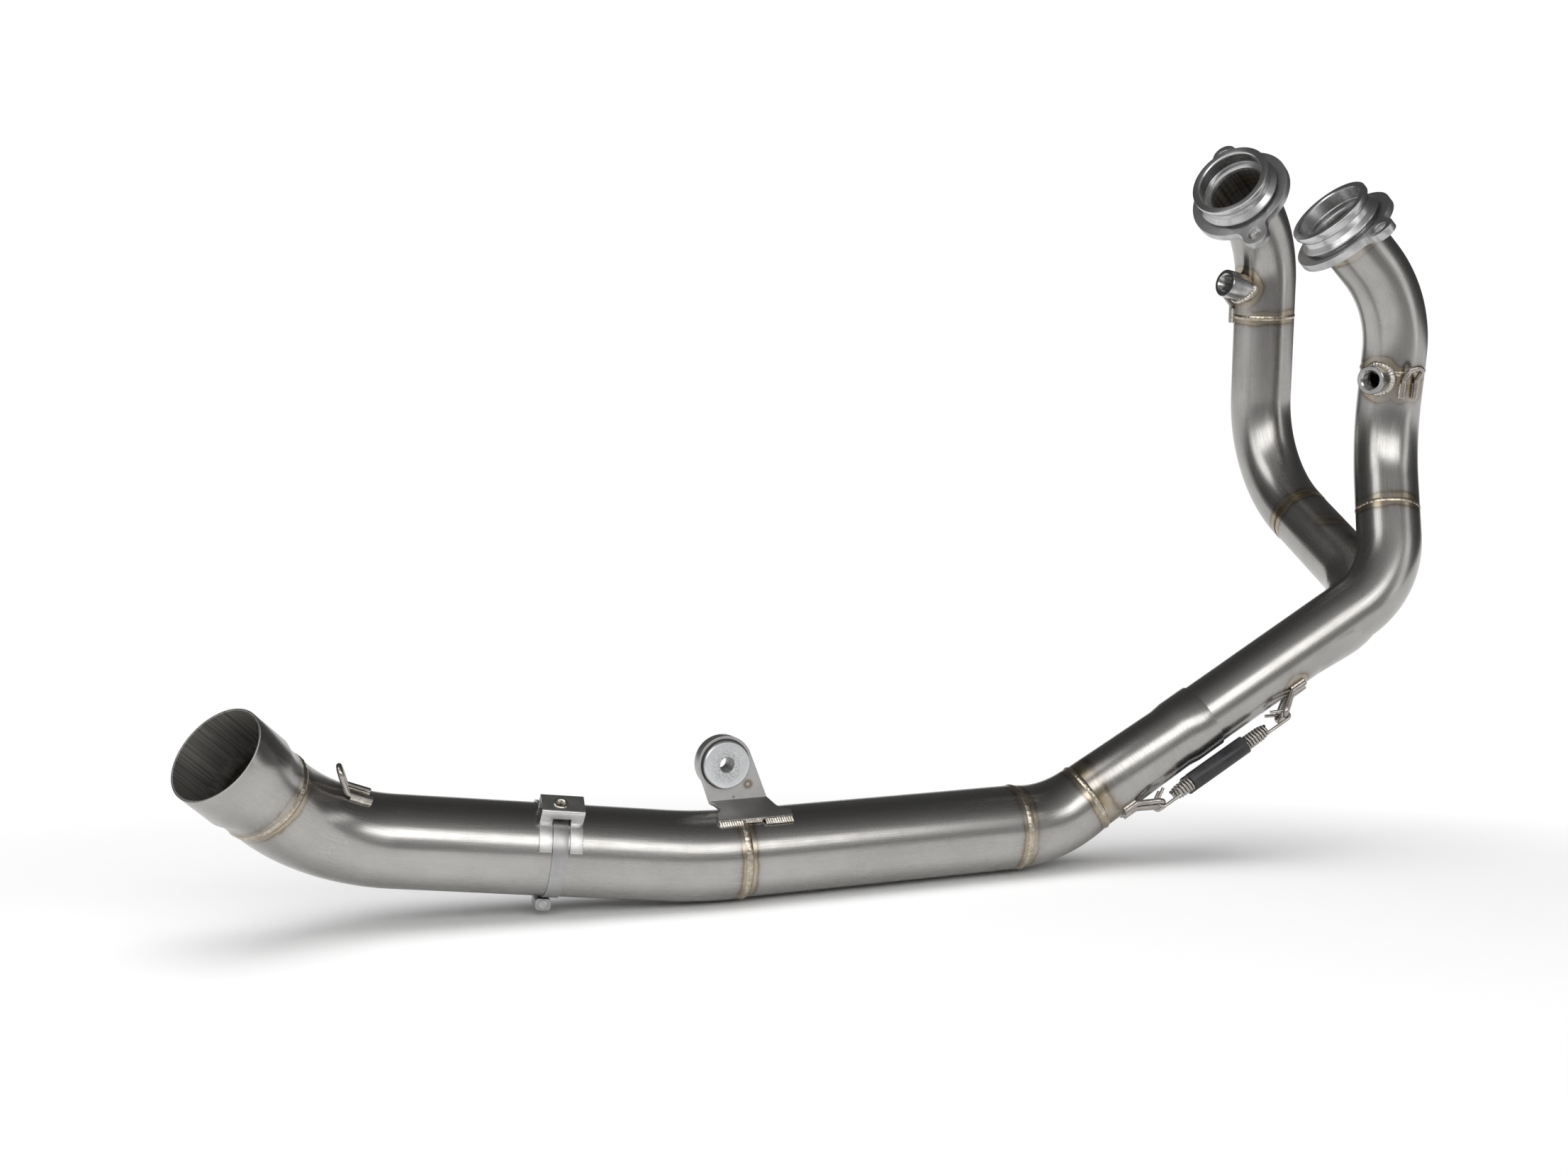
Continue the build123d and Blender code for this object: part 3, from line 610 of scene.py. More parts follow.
def metal(name, changes):
    material, n, skin = newMaterial(name)
    looks = dict(plain, **changes)
    where = coordinates(n, looks["source"])
    grain = groupIn(n, grainGroup, Vector=where, Stretch=looks["stretch"],
                    Fineness=looks["fineness"], CloudSize=looks["clouds"])
    lines, clouds = grain["Lines"], grain["Clouds"]
    colour = n.mix(n.range(clouds, 0.35, 0.65), looks["colour"], looks["dark"])
    lineTone = n.math("MULTIPLY", n.range(lines, 0.3, 0.7), looks["lineTone"])
    colour = n.mix(lineTone, colour, tones["grainLine"])
    streaks = n.noise(where, 700, 3, (1, 1, 0.02))
    # painted shade: inner faces of tubes and bores are darkened in streaks where shade falls inside them, and
    # are made rougher
    bore = n.add("ShaderNodeAttribute", attribute_name="inside").outputs["Fac"]
    soot = n.math("MULTIPLY", bore, n.range(streaks, 0.38, 0.60, 0.80, 0.10))
    colour = n.mix(soot, colour, tones["soot"])
    if "tint" in looks:
        near = n.add("ShaderNodeAttribute", attribute_name="weldGap").outputs["Fac"]
        tinted = groupIn(n, tintGroup, BaseColor=colour, Distance=near, Vector=where, Strength=looks["tint"])
        colour = tinted["Color"]
    if "scratch" in looks:
        scratch = n.math("MULTIPLY", grain["Scratches"], looks["scratch"])
        colour = n.mix(scratch, colour, tones["scratch"])
    for centre, reach in looks.get("spots", []):
        colour = spotMark(n, where, colour, centre, reach)
    n.join(colour, skin.inputs["Base Color"])
    rough = n.math("ADD", n.range(clouds, 0.3, 0.7, *looks["rough"]), n.range(lines, 0.3, 0.7, -0.03, 0.04))
    n.join(n.math("ADD", rough, n.math("MULTIPLY", bore, 0.38)), skin.inputs["Roughness"])
    height = n.math("ADD", n.math("MULTIPLY", lines, 0.6), n.math("MULTIPLY", clouds, 0.12))
    n.join(n.bump(height, looks["bump"], 0.0004), skin.inputs["Normal"])
    skin.inputs["Metallic"].default_value = 1
    if "turned" in looks:
        skin.inputs["Anisotropic"].default_value = looks["turned"]
        skin.inputs["Anisotropic Rotation"].default_value = 0.25
        around = n.add("ShaderNodeAttribute", attribute_name="around").outputs["Vector"]
        n.join(around, skin.inputs["Tangent"])
    return material


tubeLook = {
    "source": "own", "colour": (0.43, 0.42, 0.405), "dark": (0.37, 0.36, 0.345), "rough": (0.22, 0.29),
    "stretch": (1, 1, 0.03), "fineness": 1400, "clouds": 26, "bump": 0.06, "tint": 1.0, "scratch": 0.30}
tubeSteel = metal("tubeSteel", tubeLook)
sleeveSteel = metal("slipSleeveSteel", dict(tubeLook, stretch=(0.04, 0.04, 1), fineness=1700, lineTone=0.14,
                                            bump=0.05))
spigotSteel = metal("turnedSpigotSteel", {
    "source": "own", "colour": (0.66, 0.66, 0.66), "dark": (0.58, 0.58, 0.58), "rough": (0.24, 0.34),
    "stretch": (0.03, 0.03, 1), "fineness": 2600, "clouds": 60, "bump": 0.10, "scratch": 0.35,
    "turned": 0.75})
flangeSteel = metal("blastedFlangeSteel", {
    "colour": (0.60, 0.60, 0.60), "dark": (0.46, 0.46, 0.46), "rough": (0.32, 0.44),
    "fineness": 900, "clouds": 90, "bump": 0.35, "scratch": 0.6})
bungSteel = metal("bungSteel", {
    "source": "own", "colour": (0.52, 0.51, 0.49), "dark": (0.38, 0.38, 0.40), "rough": (0.16, 0.26),
    "stretch": (0.05, 0.05, 1), "fineness": 2200, "clouds": 120, "bump": 0.12})
weldSteel = metal("weldSteel", {
    "colour": (0.76, 0.73, 0.68), "dark": (0.46, 0.41, 0.35), "rough": (0.22, 0.36),
    "fineness": 1100, "clouds": 260, "bump": 0.8, "lineTone": 0.2})
seamSteel = metal("seamWeldSteel", {
    "source": "own", "colour": (0.60, 0.54, 0.45), "dark": (0.36, 0.30, 0.23), "rough": (0.24, 0.36),
    "stretch": (1, 1, 0.4), "fineness": 800, "clouds": 320, "bump": 0.8, "lineTone": 0.3})
hookSteel = metal("hookWireSteel", {
    "colour": (0.46, 0.43, 0.39), "dark": (0.32, 0.29, 0.28), "rough": (0.22, 0.32),
    "fineness": 700, "clouds": 150, "bump": 0.15})
springSteel = metal("springWireSteel", {
    "colour": (0.50, 0.48, 0.45), "dark": (0.36, 0.33, 0.30), "rough": (0.24, 0.34),
    "fineness": 800, "clouds": 180, "bump": 0.10})
bushMetal = metal("bushAluminium", {
    "source": "own", "colour": (0.72, 0.73, 0.74), "dark": (0.66, 0.67, 0.68), "rough": (0.34, 0.42),
    "stretch": (0.05, 0.05, 1), "fineness": 1800, "clouds": 80, "bump": 0.08})
bandSteel = metal("bandSteel", {
    "source": "own", "colour": (0.42, 0.42, 0.42), "dark": (0.36, 0.36, 0.36), "rough": (0.34, 0.42),
    "stretch": (0.03, 0.03, 1), "fineness": 1500, "clouds": 70, "bump": 0.08, "scratch": 0.4})
saddleSteel = metal("saddleSteel", {
    "colour": (0.66, 0.65, 0.64), "dark": (0.56, 0.55, 0.54), "rough": (0.30, 0.40),
    "stretch": (0.1, 1, 1), "fineness": 1200, "clouds": 80, "bump": 0.08, "scratch": 0.5})
insertSteel = metal("insertSteel", {
    "source": "own", "colour": (0.74, 0.70, 0.62), "dark": (0.60, 0.56, 0.50), "rough": (0.16, 0.26),
    "stretch": (0.05, 0.05, 1), "fineness": 2400, "clouds": 200, "bump": 0.1})
screwSteel = metal("screwSteel", {
    "colour": (0.50, 0.50, 0.50), "dark": (0.36, 0.36, 0.36), "rough": (0.28, 0.40),
    "fineness": 900, "clouds": 200, "bump": 0.2})


def rubber(name, looks):
    material, n, skin = newMaterial(name)
    where = coordinates(n, looks["source"])
    grain = groupIn(n, grainGroup, Vector=where, Stretch=(1, 1, 0.6), Fineness=1500, CloudSize=90)
    colour = n.mix(n.range(grain["Clouds"], 0.35, 0.7), looks["colour"], looks["dusty"])
    n.join(colour, skin.inputs["Base Color"])
    n.join(n.range(grain["Clouds"], 0.3, 0.7, *looks["rough"]), skin.inputs["Roughness"])
    n.join(n.bump(grain["Lines"], 0.2, 0.0003), skin.inputs["Normal"])
    return material


sleeveRubber = rubber("sleeveRubber", {"source": "own", "colour": (0.012, 0.012, 0.014),
                                       "dusty": (0.03, 0.03, 0.032), "rough": (0.34, 0.5)})
damperRubber = rubber("damperRubber", {"source": "own", "colour": (0.012, 0.012, 0.012),
                                       "dusty": (0.03, 0.03, 0.03), "rough": (0.5, 0.7)})
print("stage: materials")


# Where welds heat the tubes: rings at the joints, and spots at bungs and hooks
ringHeat = [(line[seam[0]], line[seam[1]], seam[2]) for seam in seams.values()]
ringHeat += [(line["farKnee"], line["mergeFar"], farJoint),
             (line["nearMouth"], line["nearTop"], spigotSeam), (line["farMouth"], line["farTop"], spigotSeam)]
spotHeat = []
spotR = 19  # the spots lie this far from the centre line


def writeHeat(piece):
    # distance to the nearest weld, in millimetres
    gaps, = marks(piece, weldGap="FLOAT")
    for i, vertex in enumerate(piece.data.vertices):
        least = 30.0
        for a, b, step in ringHeat:
            arm = vertex.co - towards(a, b, step)
            if arm.length < 45 * mm:
                least = min(least, abs(arm.dot((b - a).normalized())) / mm)
        for centre, reach in spotHeat:
            least = min(least, max(0, (vertex.co - centre).length / mm - reach))
        gaps.data[i].value = least


bungSize = {"boreR": 5.45, "threadR": 5.85, "pitch": 1.25, "bodyR": 8.65, "foot": 17.6,
            "weldR": 9.0, "weldWire": 1.75}
boreR, threadR, pitch, bodyR, foot, weldR, weldWire = bungSize.values()
bungs = {
    "near": {"run": ("nearTop", "nearKnee"), "step": 45, "turn": 43, "tilt": 0, "height": 9},
    "far": {"run": ("farTop", "farKnee"), "step": 38, "turn": 62, "tilt": 15, "height": 16},
}
for bung in bungs.values():
    a, b = [line[end] for end in bung["run"]]
    d = (b - a).normalized()
    tilt = radians(bung["tilt"])
    z = outFrom(a, b, bung["turn"]) * cos(tilt) - d * sin(tilt)
    y = (d - z * d.dot(z)).normalized()
    bung["place"] = axesAt(towards(a, b, bung["step"]), y.cross(z), y, z)
    spotHeat.append((bung["place"] @ Vector((0, 0, spotR * mm)), 10))


def drillBung(piece, bung):
    deselect()
    bpy.ops.mesh.primitive_cylinder_add(vertices=64, radius=boreR * mm, depth=20 * mm,
                                        location=(0, 0, spotR * mm))
    tool = bpy.context.object
    settle(tool)
    tool.matrix_world = bung["place"]
    settle(tool)
    cutWith(piece, tool)


# Wire hooks: run, turn, and where along it the legs end, the knee bends and the loop tips
headerHook = {"height": 27, "half": 4.2, "bend": 3.9, "seat": headerR}
springHook = {"run": ("merge", "link"), "height": 29.2, "half": 3.1, "bend": 2.9}
upperHook = dict(springHook, legEnd=84, knee=94, tip=106.5, seat=headerR)
lowerHook = dict(springHook, legEnd=219, knee=210, tip=197, seat=20.25)
springTurn = {"near": -56, "far": -89}
hooks = {
    "near_header_hook": dict(headerHook, run=("nearTop", "nearKnee"), turn=-15, legEnd=56, knee=44.5, tip=36),
    "far_header_hook": dict(headerHook, run=("farTop", "farKnee"), turn=117, legEnd=57, knee=45.5, tip=37),
}
for side, turn in springTurn.items():
    hooks[side + "_upper_spring_hook"] = dict(upperHook, turn=turn)
    hooks[side + "_lower_spring_hook"] = dict(lowerHook, turn=turn)
for hook in hooks.values():
    a, b = [line[end] for end in hook["run"]]
    out = outFrom(a, b, hook["turn"])
    across = (b - a).normalized().cross(out)
    middle = towards(a, b, (hook["legEnd"] + hook["knee"]) / 2) + out * spotR * mm
    for side in (-hook["half"], hook["half"]):
        spotHeat.append((middle + across * side * mm, 4))

tubes = {
    "near_upper_bend": {"points": [towards(line["nearMouth"], line["nearTop"], 13.5), line["nearTop"],
                                   seamAt("near_seam_weld")],
                        "bends": [79], "bung": "near"},
    "near_down_tube": {"points": [seamAt("near_seam_weld"), line["nearKnee"], seamAt("near_low_seam_weld")],
                       "bends": [85], "bung": "near"},
    "far_upper_bend": {"points": [towards(line["farMouth"], line["farTop"], 13.5), line["farTop"],
                                  seamAt("far_seam_weld")],
                       "bends": [65], "bung": "far"},
    "far_down_tube": {"points": [seamAt("far_seam_weld"), line["farKnee"],
                                 towards(line["farKnee"], line["mergeFar"], farJoint)],
                      "bends": [75]},
    "elbow_pipe": {"points": [seamAt("cone_seam_weld"), line["link"], seamAt("elbow_seam_weld")],
                   "bends": [65], "radius": elbowR, "endRadius": linkR},
    "link_pipe": {"points": [seamAt("elbow_seam_weld"), seamAt("link_seam_weld")],
                  "bends": [], "radius": linkR},
    "rear_pipe": {"points": [seamAt("link_seam_weld"), line["kink"], line["rear"],
                             seamAt("outlet_seam_weld")],
                  "bends": [250, 85], "radius": rearR},
}
for node, tube in tubes.items():
    radius = tube.get("radius", headerR) * mm
    piece, runs = tubeAlong(tube["points"], tube["bends"], radius, endRadius=tube.get("endRadius", 0) * mm)
    wallInside(piece, tubeWall)
    if "bung" in tube:
        drillBung(piece, bungs[tube["bung"]])
    writeSurface(piece, runs, radius)
    writeHeat(piece)
    finishPiece(piece, node, tubeSteel)
print("stage: tubes")


# The two legs run into one tube: skins joined, then the joined ducts cut out
collector = {"nearBend": 60, "farBend": 40, "end": 160, "farEnd": 75, "ductLonger": 2}


def collectorPair(inset, longer):
    nearStart = towards(line["nearKnee"], line["merge"], seams["near_low_seam_weld"][2] - longer)
    end = towards(line["merge"], line["link"], collector["end"] + longer)
    near, nearRuns = tubeAlong([nearStart, line["merge"], end], [collector["nearBend"]],
                               (headerR - inset) * mm, capped=True)
    farStart = towards(line["farKnee"], line["mergeFar"], farJoint - longer)
    farEnd = towards(line["merge"], line["link"], collector["farEnd"])
    far, farRuns = tubeAlong([farStart, line["mergeFar"], farEnd], [collector["farBend"]],
                             (farR - inset) * mm, capped=True)
    cutWith(near, far, "UNION")
    return near, nearRuns, farRuns


skin, nearRuns, farRuns = collectorPair(0, 0)
cutWith(skin, collectorPair(tubeWall, collector["ductLonger"])[0])
own, = marks(skin, own="FLOAT_VECTOR")
for i, vertex in enumerate(skin.data.vertices):
    nearHere = onRoute(nearRuns, vertex.co)
    farHere = onRoute(farRuns, vertex.co)
    nearGap = abs((vertex.co - nearHere[0]).length - headerR * mm)
    farGap = abs((vertex.co - farHere[0]).length - farR * mm)
    own.data[i].vector = straightened(vertex.co, nearHere if nearGap <= farGap else farHere, headerR * mm)
writeHeat(skin)
finishPiece(skin, "merge_collector", tubeSteel, 30)
print("stage: collector")


# Turned pieces, as rings of radius and height from the start of their run
spigot = {"lip": 24.75, "register": 22.8, "band": 23.2, "collar": 25.8, "neck": 21.5, "seat": 19.15,
          "bore": 17.85, "mouth": 20.3, "groove": 20.05}
lip, register, band, collar, neck, seat, bore, mouth, groove = spigot.values()
spigotOutline = [
    (21.1, -0.8), (lip - 0.3, -0.8), (lip, -0.5), (lip, 2.1), (register, 2.1), (register, 4.7),
    (register - 0.3, 5), (band, 5), (band, 8.5), (collar, 11), (collar, 12), (neck, 12), (neck, 21),
    (seat, 21), (seat, 13.5), (bore, 13.5), (bore, 11), (mouth, 11), (mouth, 8.4), (groove, 8.2),
    (groove, 7.8), (mouth, 7.6), (mouth, 0),
]
neckWeld = [(headerR, 21), (neck, 21), (21.3, 21.9), (20.7, 22.9), (19.9, 23.4), (headerR, 23.5)]
for side in ("near", "far"):
    place = placeOn(line[side + "Mouth"], line[side + "Top"], 0)
    piece = turnedPiece(spigotOutline, place, edge=0.12, darkFrom=11, darkness=0.5)
    finishPiece(piece, side + "_port_spigot", spigotSteel, 30, side + "_spigot_look")
    finishPiece(turnedPiece(neckWeld, place, edge=0), side + "_spigot_weld", seamSteel, 60)

sleeve = {"outer": [(20.15, 144.5), (20.15, 162), (19.3, 169), (20.5, 231)], "wall": 1.0}
piece = turnedPiece(sheetOutline(**sleeve), placeOn(line["merge"], line["link"], 0), edge=0.2)
writeHeat(piece)
finishPiece(piece, "slip_sleeve", sleeveSteel, 25)

outlet = {"outer": [(25, 44), (25, 53), (26.7, 59), (26.7, 83.35)], "wall": tubeWall}
piece = turnedPiece(sheetOutline(**outlet), placeOn(line["rear"], line["outlet"], 0), edge=0.25, darkFrom=44,
                    darkness=0.8)
writeHeat(piece)
finishPiece(piece, "outlet_sleeve", tubeSteel, 25)


bead = {"rings": 9, "ripples": 46, "rippleHeight": 0.09, "waves": 17, "waveHeight": 0.06, "sunk": 0.05}


def seamBead(name, start, end, step, before, after, width, proud):
    # a crown over the joint, with ripples round it
    a, b = line[start], line[end]
    rings = []
    crown = max(before, after) + proud
    for i in range(bead["rings"]):
        t = i / (bead["rings"] - 1)
        base = before + (after - before) * t
        rings.append((base + (crown - base) * sin(pi * t), (t - 0.5) * width))
    rings += [(after - bead["sunk"], width / 2), (before - bead["sunk"], -width / 2)]
    piece = turnedPiece(rings, placeOn(a, b, step), corners=240, edge=0)
    d = (b - a).normalized()
    centre = towards(a, b, step)
    front = outFrom(a, b, 0)
    side = d.cross(front)
    for vertex in piece.data.vertices:
        arm = vertex.co - centre
        along = arm.dot(d)
        arm -= d * along
        if arm.length > (min(before, after) + 0.02) * mm:
            angle = atan2(arm.dot(side), arm.dot(front))
            ripple = bead["rippleHeight"] * sin(bead["ripples"] * angle - 900 * abs(along))
            ripple += bead["waveHeight"] * sin(bead["waves"] * angle + 2)
            fade = max(0, 1 - abs(along) / (width * mm / 2))
            vertex.co += arm.normalized() * ripple * fade * mm
    finishPiece(piece, name, seamSteel, 60)


for name, seam in seams.items():
    seamBead(name, *seam)
print("stage: turned pieces and seams")


# Sensor bungs with their threads, and the weld metal round each
for side, bung in bungs.items():
    top = headerR + bung["height"]
    thread = []
    z = top - 0.9
    while z > 19.2:
        thread += [(boreR, z), (threadR, z - 0.55)]
        z -= pitch
    outline = [(boreR, foot), (bodyR, foot), (bodyR, top - 0.4), (bodyR - 0.4, top), (threadR + 0.5, top)]
    outline += thread
    piece = turnedPiece(outline, bung["place"], edge=0)
    finishPiece(piece, side + "_sensor_bung", bungSteel, 28, side + "_bung_look")
    deselect()
    bpy.ops.mesh.primitive_torus_add(major_radius=weldR * mm, minor_radius=weldWire * mm,
                                     major_segments=160, minor_segments=16)
    piece = bpy.context.object
    for vertex in piece.data.vertices:
        angle = atan2(vertex.co.y, vertex.co.x)
        seat = sqrt((headerR * mm) ** 2 - min(vertex.co.x ** 2, (15 * mm) ** 2))
        seat += vertex.co.y * tan(radians(bung["tilt"]))
        lump = 1 + 0.07 * sin(30 * angle + 900 * vertex.co.z) + 0.12 * sin(3 * angle + 1) * sin(5 * angle)
        arm = Vector((cos(angle), sin(angle), 0)) * weldR * mm
        vertex.co = arm + (vertex.co - arm) * lump
        vertex.co.z += seat
    piece.matrix_world = bung["place"]
    settle(piece)
    finishPiece(piece, side + "_bung_weld", weldSteel, 180)
print("stage: bungs")


def wireHook(node, place, hook, wire=1.6):
    # two legs on the tube and a loop that stands off
    half = hook["half"]
    low = sqrt((hook["seat"] + wire + 0.05) ** 2 - half ** 2)
    leg = [(hook["legEnd"], half, low), (hook["knee"], half, low), (hook["tip"], half, hook["height"])]
    points = leg + [(x, -y, z) for x, y, z in reversed(leg)]
    points = [place @ (Vector(point) * mm) for point in points]
    piece = tubeAlong(points, [3.5, hook["bend"], hook["bend"], 3.5], wire * mm, corners=24, stride=1.2,
                      capped=True)[0]
    bevelEdges(piece, 0.5, 3, 60)
    finishPiece(piece, node, hookSteel, 50)
    weldNode = node.replace("spring_hook", "hook_weld") if "spring" in node else node + "_weld"
    finishPiece(meltedCopy(weldNode), weldNode, weldSteel, 180)


for node, hook in hooks.items():
    a, b = [line[end] for end in hook["run"]]
    wireHook(node, hookPlace(a, b, hook["turn"]), hook)

outletHook = dict(headerHook, turn=-76, pastBend=31, legEnd=-7, knee=7, tip=16, height=37, seat=25.15)
bend = routeOf([line["kink"], line["rear"], line["outlet"]], tubes["rear_pipe"]["bends"][1:])[1]
spin = Matrix.Rotation(outletHook["pastBend"] * mm / bend["radius"], 3, bend["axis"])
here = bend["centre"] + spin @ (bend["from"] - bend["centre"])
way = spin @ bend["way"]
out = outFrom(here + way, here, outletHook["turn"])
wireHook("outlet_hook", axesAt(here, way, out.cross(way), out), outletHook)
print("stage: hooks")


# Springs: close coils of round wire with hooked ends, and a rubber sleeve on each
spring = {"start": 120, "end": 186, "wire": 0.95, "coilR": 3.5, "tipR": 2.3, "pitch": 2.05, "axisR": 29.2,
          "taper": 7, "hookR": 2.45}
rubberSleeve = {"start": 136.5, "outer": [(5.5, 0), (5.5, 40)], "wall": 0.95}


def onSpring(place, step):
    moved = Matrix.Translation(Vector((step, 0, spring["axisR"])) * mm)
    return place @ moved @ Matrix.Rotation(pi / 2, 4, "Y")


def windCoil(place):
    turns = int((spring["end"] - spring["start"]) / spring["pitch"])
    deselect()
    bpy.ops.mesh.primitive_circle_add(vertices=12, radius=spring["wire"] * mm, rotation=(pi / 2, 0, 0),
                                      location=(spring["coilR"] * mm, 0, 0))
    coil = bpy.context.object
    settle(coil)
    wind = coil.modifiers.new("wind", "SCREW")
    wind.axis = "Z"
    wind.screw_offset = spring["pitch"] * mm
    wind.iterations = turns
    wind.steps = 22
    wind.render_steps = 22
    wind.use_merge_vertices = False
    applyAll(coil)
    length = turns * spring["pitch"] * mm
    tip = spring["tipR"] / spring["coilR"]
    for vertex in coil.data.vertices:
        inset = min(vertex.co.z, length - vertex.co.z)
        grow = max(0, min(1, inset / (spring["taper"] * mm)))
        wanted = tip + (1 - tip) * sin(grow * pi / 2)
        arm = Vector((vertex.co.x, vertex.co.y, 0))
        vertex.co += arm.normalized() * spring["coilR"] * (wanted - 1) * mm
    edit(coil)
    bpy.ops.mesh.select_all(action="SELECT")
    bpy.ops.mesh.normals_make_consistent(inside=False)
    doneEditing()
    coil.matrix_world = onSpring(place, spring["start"] + 0.5)
    settle(coil)
    return coil


def endHook(place, bar, end, sign):
    # from the coil's end over the bar of the tube's hook and back
    turnR = spring["hookR"]
    far = bar - sign * turnR
    r = spring["axisR"]
    points = [(end + sign * 1.6, 0, r + 2.4), (bar + sign * 3.5, 0, r + turnR), (far, 0, r + turnR),
              (far, 0, r - turnR), (bar + sign * 5.5, 0, r - turnR - 4.5)]
    points = [place @ (Vector(point) * mm) for point in points]
    return tubeAlong(points, [2, turnR - 0.05, turnR - 0.05], spring["wire"] * mm, corners=16,
                     stride=0.6, capped=True)[0]


for side, turn in springTurn.items():
    place = hookPlace(line["merge"], line["link"], turn)
    coil = windCoil(place)
    parts = [coil, endHook(place, upperHook["tip"], spring["start"], 1),
             endHook(place, lowerHook["tip"], spring["end"], -1)]
    deselect()
    for part in parts:
        part.select_set(True)
    bpy.context.view_layer.objects.active = coil
    bpy.ops.object.join()
    finishPiece(coil, side + "_spring", springSteel, 60)
    piece = turnedPiece(sheetOutline(rubberSleeve["outer"], rubberSleeve["wall"]),
                        onSpring(place, rubberSleeve["start"]), corners=64, edge=0.35)
    finishPiece(piece, side + "_spring_sleeve", sleeveRubber, 30)
print("stage: springs")


# Hanger bracket with its ring, rubber and bushes
bracket = {"along": 16, "high": 50.6, "spots": [(13.0, -12.2, 3.6), (4.7, -18.8, 1.0)]}
x = (line["link"] - line["kink"]).normalized()
z = outFrom(line["kink"], line["link"], 0)
y = z.cross(x)
centre = line["kink"] + x * bracket["along"] * mm + y * bracket["high"] * mm
bushPlace = axesAt(centre, x, y, z)
spots = [(centre + (x * across + y * up) * mm, reach) for across, up, reach in bracket["spots"]]
bracketSteel = metal("blastedBracketSteel", {
    "source": "object", "colour": (0.54, 0.53, 0.52), "dark": (0.46, 0.45, 0.44), "rough": (0.36, 0.46),
    "stretch": (1, 1, 1), "fineness": 1500, "clouds": 60, "bump": 0.16, "spots": spots})
finishPiece(copyOfNode("bracket_plate", edge=0.5), "bracket_plate", bracketSteel, 30)

turnedParts = {
    "bracket_ring": ([(13.9, -8), (15.3, -8), (15.3, -2), (13.9, -2)], bracketSteel, "bracket_sheet", 0.3),
    "bracket_damper": ([(7.1, -9), (13.8, -9), (13.8, 1), (7.1, 1)], damperRubber, "damper_rubber", 0.6),
    "bracket_front_bush": ([(4.1, -3.5), (7, -3.5), (7, 1), (13.2, 1), (13.2, 2.9), (12.5, 3.6), (4.6, 3.6),
                            (4.1, 3.1)], bushMetal, "bush", 0.12),
    "bracket_rear_bush": ([(4.1, -11.1), (4.6, -11.6), (12.5, -11.6), (13.2, -10.9), (13.2, -9), (7, -9),
                           (7, -3.6), (4.1, -3.6)], bushMetal, "bush", 0.12),
}
for node, (outline, material, slotName, edgeWidth) in turnedParts.items():
    piece = turnedPiece(outline, bushPlace, edge=edgeWidth, darkFrom=-12, darkness=0.6)
    finishPiece(piece, node, material, 30)
melt = meltedCopy("bracket_weld", 0.35, 8)
for vertex in melt.data.vertices:
    along = (vertex.co - line["kink"]).dot(x) / mm
    vertex.co += vertex.normal * (0.30 + 0.16 * sin(along * 4.6 + vertex.co.z / mm)) * mm
finishPiece(melt, "bracket_weld", weldSteel, 180)
print("stage: bracket")


# Clamp on the rear pipe: saddle, band, threaded insert, housing and screw
clamp = {"turn": -62, "bandAt": 122.6, "insertAt": 121.6, "insertOut": 33.4, "boreR": 2.1, "threadR": 2.35,
         "pitch": 0.8, "band": [(25.5, -4.1), (25.5, 4.1)], "bandWall": 0.7}
a, b = line["rear"], line["kink"]
out = outFrom(a, b, clamp["turn"])
z = (b - a).normalized()
x = out.cross(z)
finishPiece(copyOfNode("clamp_saddle", edge=0.35), "clamp_saddle", saddleSteel, 30)
band = turnedPiece(sheetOutline(clamp["band"], clamp["bandWall"]),
                   axesAt(towards(a, b, clamp["bandAt"]), x, out, z), edge=0.2)
finishPiece(band, "clamp_band", bandSteel, 30)
thread = []
height = 0.1
while height > -6.4:
    thread += [(clamp["boreR"], height), (clamp["threadR"], height - clamp["pitch"] / 2)]
    height -= clamp["pitch"]
insertPlace = axesAt(towards(a, b, clamp["insertAt"]) + out * clamp["insertOut"] * mm, x, out.cross(x), out)
outline = [(clamp["boreR"], -7), (3, -7), (3, 0), (4, 0), (4, 0.35), (3.8, 0.5), (2.5, 0.5)]
insert = turnedPiece(outline + thread, insertPlace, corners=64, edge=0)
finishPiece(insert, "clamp_insert", insertSteel, 28)
housing = copyOfNode("clamp_housing", edge=0.25)
own, = marks(housing, own="FLOAT_VECTOR")
for i, vertex in enumerate(housing.data.vertices):
    own.data[i].vector = vertex.co
finishPiece(housing, "clamp_housing", bandSteel, 30)
finishPiece(copyOfNode("clamp_screw", edge=0.25), "clamp_screw", screwSteel, 30)
print("stage: clamp")

for side in ("near", "far"):
    finishPiece(copyOfNode(side + "_port_flange", edge=0.3), side + "_port_flange", flangeSteel, 30,
                side + "_flange_look")
print("stage: flanges")


# Floor, backdrop, lamps and camera
studio = {"floorColour": (0.93, 0.93, 0.93), "shadowAt": (-0.30, -0.15), "shadowWide": (1, 0.45, 1),
          "clearFrom": 0.36, "clearTo": 0.66, "aim": (-0.25, 0, -0.2),
          "room": [(0.0, 0.26), (0.225, 0.34), (0.40, 0.16), (0.575, 0.09), (0.80, 0.07), (1.0, 0.11)]}


def rayKinds(n):
    # rays from the camera, and rays that metal mirrors or glass lets through
    rays = n.add("ShaderNodeLightPath").outputs
    return rays["Is Camera Ray"], n.math("MAXIMUM", rays["Is Glossy Ray"], rays["Is Transmission Ray"])


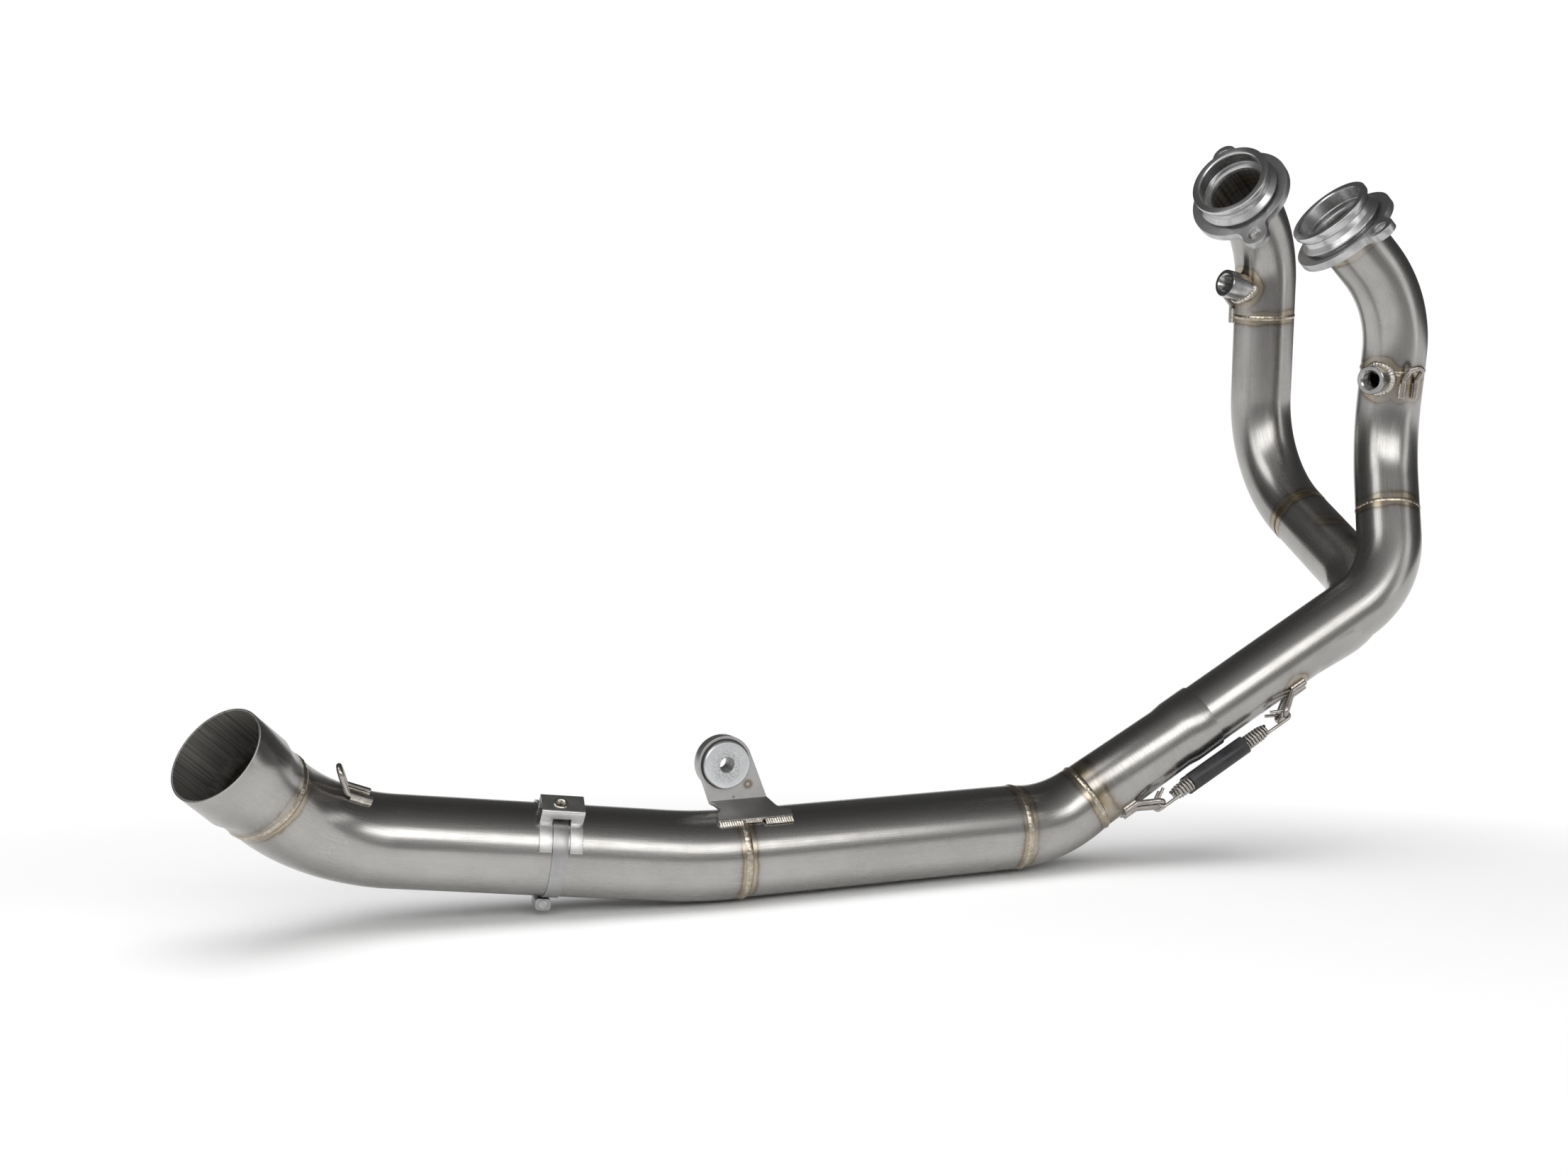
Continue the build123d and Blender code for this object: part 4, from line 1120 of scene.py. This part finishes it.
floorZ = cadBox[0][2] - 0.0006
floorPaint, n, paint = newMaterial("floorPaint")
paint.inputs["Base Color"].default_value = (*studio["floorColour"], 1)
paint.inputs["Roughness"].default_value = 0.8
paint.inputs["Specular IOR Level"].default_value = 0.1
spread = n.add("ShaderNodeMapping", vector_type="TEXTURE")
spread.inputs["Location"].default_value = (*studio["shadowAt"], floorZ)
spread.inputs["Scale"].default_value = studio["shadowWide"]
n.join(n.add("ShaderNodeTexCoord").outputs["Object"], spread.inputs["Vector"])
shadowRoom = n.add("ShaderNodeVectorMath", operation="LENGTH")
n.join(spread.outputs[0], shadowRoom.inputs[0])
clear = n.range(shadowRoom.outputs["Value"], studio["clearFrom"], studio["clearTo"])
seen, mirrored = rayKinds(n)
white = n.add("ShaderNodeEmission")
white.inputs["Strength"].default_value = 1
blend = n.add("ShaderNodeMixShader")
n.join(n.math("MULTIPLY", n.math("MAXIMUM", seen, mirrored), clear), blend.inputs[0])
n.join(paint.outputs[0], blend.inputs[1])
n.join(white.outputs[0], blend.inputs[2])
n.join(blend.outputs[0], floorPaint.node_tree.nodes["Material Output"].inputs["Surface"])
deselect()
bpy.ops.mesh.primitive_plane_add(size=14, location=(0, 6.35, floorZ))
floor = bpy.context.object
settle(floor)
floor.name = "floor"
floor.data.materials.append(floorPaint)

# The room is graded from behind the camera to behind the object, with a white band ahead of mirrors
world = bpy.data.worlds.new("studio")
bpy.context.scene.world = world
world.use_nodes = True
n = Nodes(world.node_tree)
back = world.node_tree.nodes["Background"]
split = n.add("ShaderNodeSeparateXYZ")
n.join(n.add("ShaderNodeTexCoord").outputs["Generated"], split.inputs[0])
depth = n.range(split.outputs["Y"], -1, 1)
room = n.ramp(depth, [(stop, (level, level, level)) for stop, level in studio["room"]])
ahead = n.math("MULTIPLY", n.range(split.outputs["Y"], 0.95, 0.985),
               n.range(n.math("ABSOLUTE", split.outputs["Z"]), 0.10, 0.16, 1, 0))
seen, mirrored = rayKinds(n)
white = n.math("MAXIMUM", seen, n.math("MULTIPLY", ahead, mirrored))
n.join(n.mix(white, room, (1.0, 1.0, 1.0)), back.inputs["Color"])
back.inputs["Strength"].default_value = 1


def stand(name, data, place):
    holder = bpy.data.objects.new(name, data)
    bpy.context.scene.collection.objects.link(holder)
    holder.location = place
    return holder


lamps = {
    "strip": {"place": (-0.25, -1.20, 0.38), "size": (2.3, 0.52), "power": 9.8},
    "overhead": {"place": (-0.3, -0.3, 1.5), "size": (1.9, 1.7), "power": 25, "mirrored": False},
    "tallBox": {"place": (0.17, -1.30, 0.20), "size": (0.26, 0.80), "power": 0.25},
    "leftBox": {"place": (-1.15, -0.55, 0.45), "size": (0.55, 1.0), "power": 3.4},
    "rightBox": {"place": (1.05, -0.50, 0.10), "size": (0.35, 0.9), "power": 1.1},
}
for name, lamp in lamps.items():
    light = bpy.data.lights.new(name, "AREA")
    light.shape = "RECTANGLE"
    light.size, light.size_y = lamp["size"]
    light.energy = lamp["power"]
    holder = stand(name, light, lamp["place"])
    holder.visible_glossy = lamp.get("mirrored", True)
    aim = Vector(studio["aim"]) - Vector(lamp["place"])
    holder.rotation_euler = aim.to_track_quat("-Z", "Y").to_euler()

view = {"place": (-0.32514, -1.15891, -0.09590), "down": 6.4, "lens": 43.94, "sensor": 36}
camera = bpy.data.cameras.new("camera")
camera.sensor_width = view["sensor"]
camera.lens = view["lens"]
cameraHolder = stand("camera", camera, view["place"])
cameraHolder.rotation_euler = (radians(90 - view["down"]), 0, 0)
bpy.context.scene.camera = cameraHolder
bpy.context.scene.view_settings.view_transform = "Standard"
print("stage: studio")
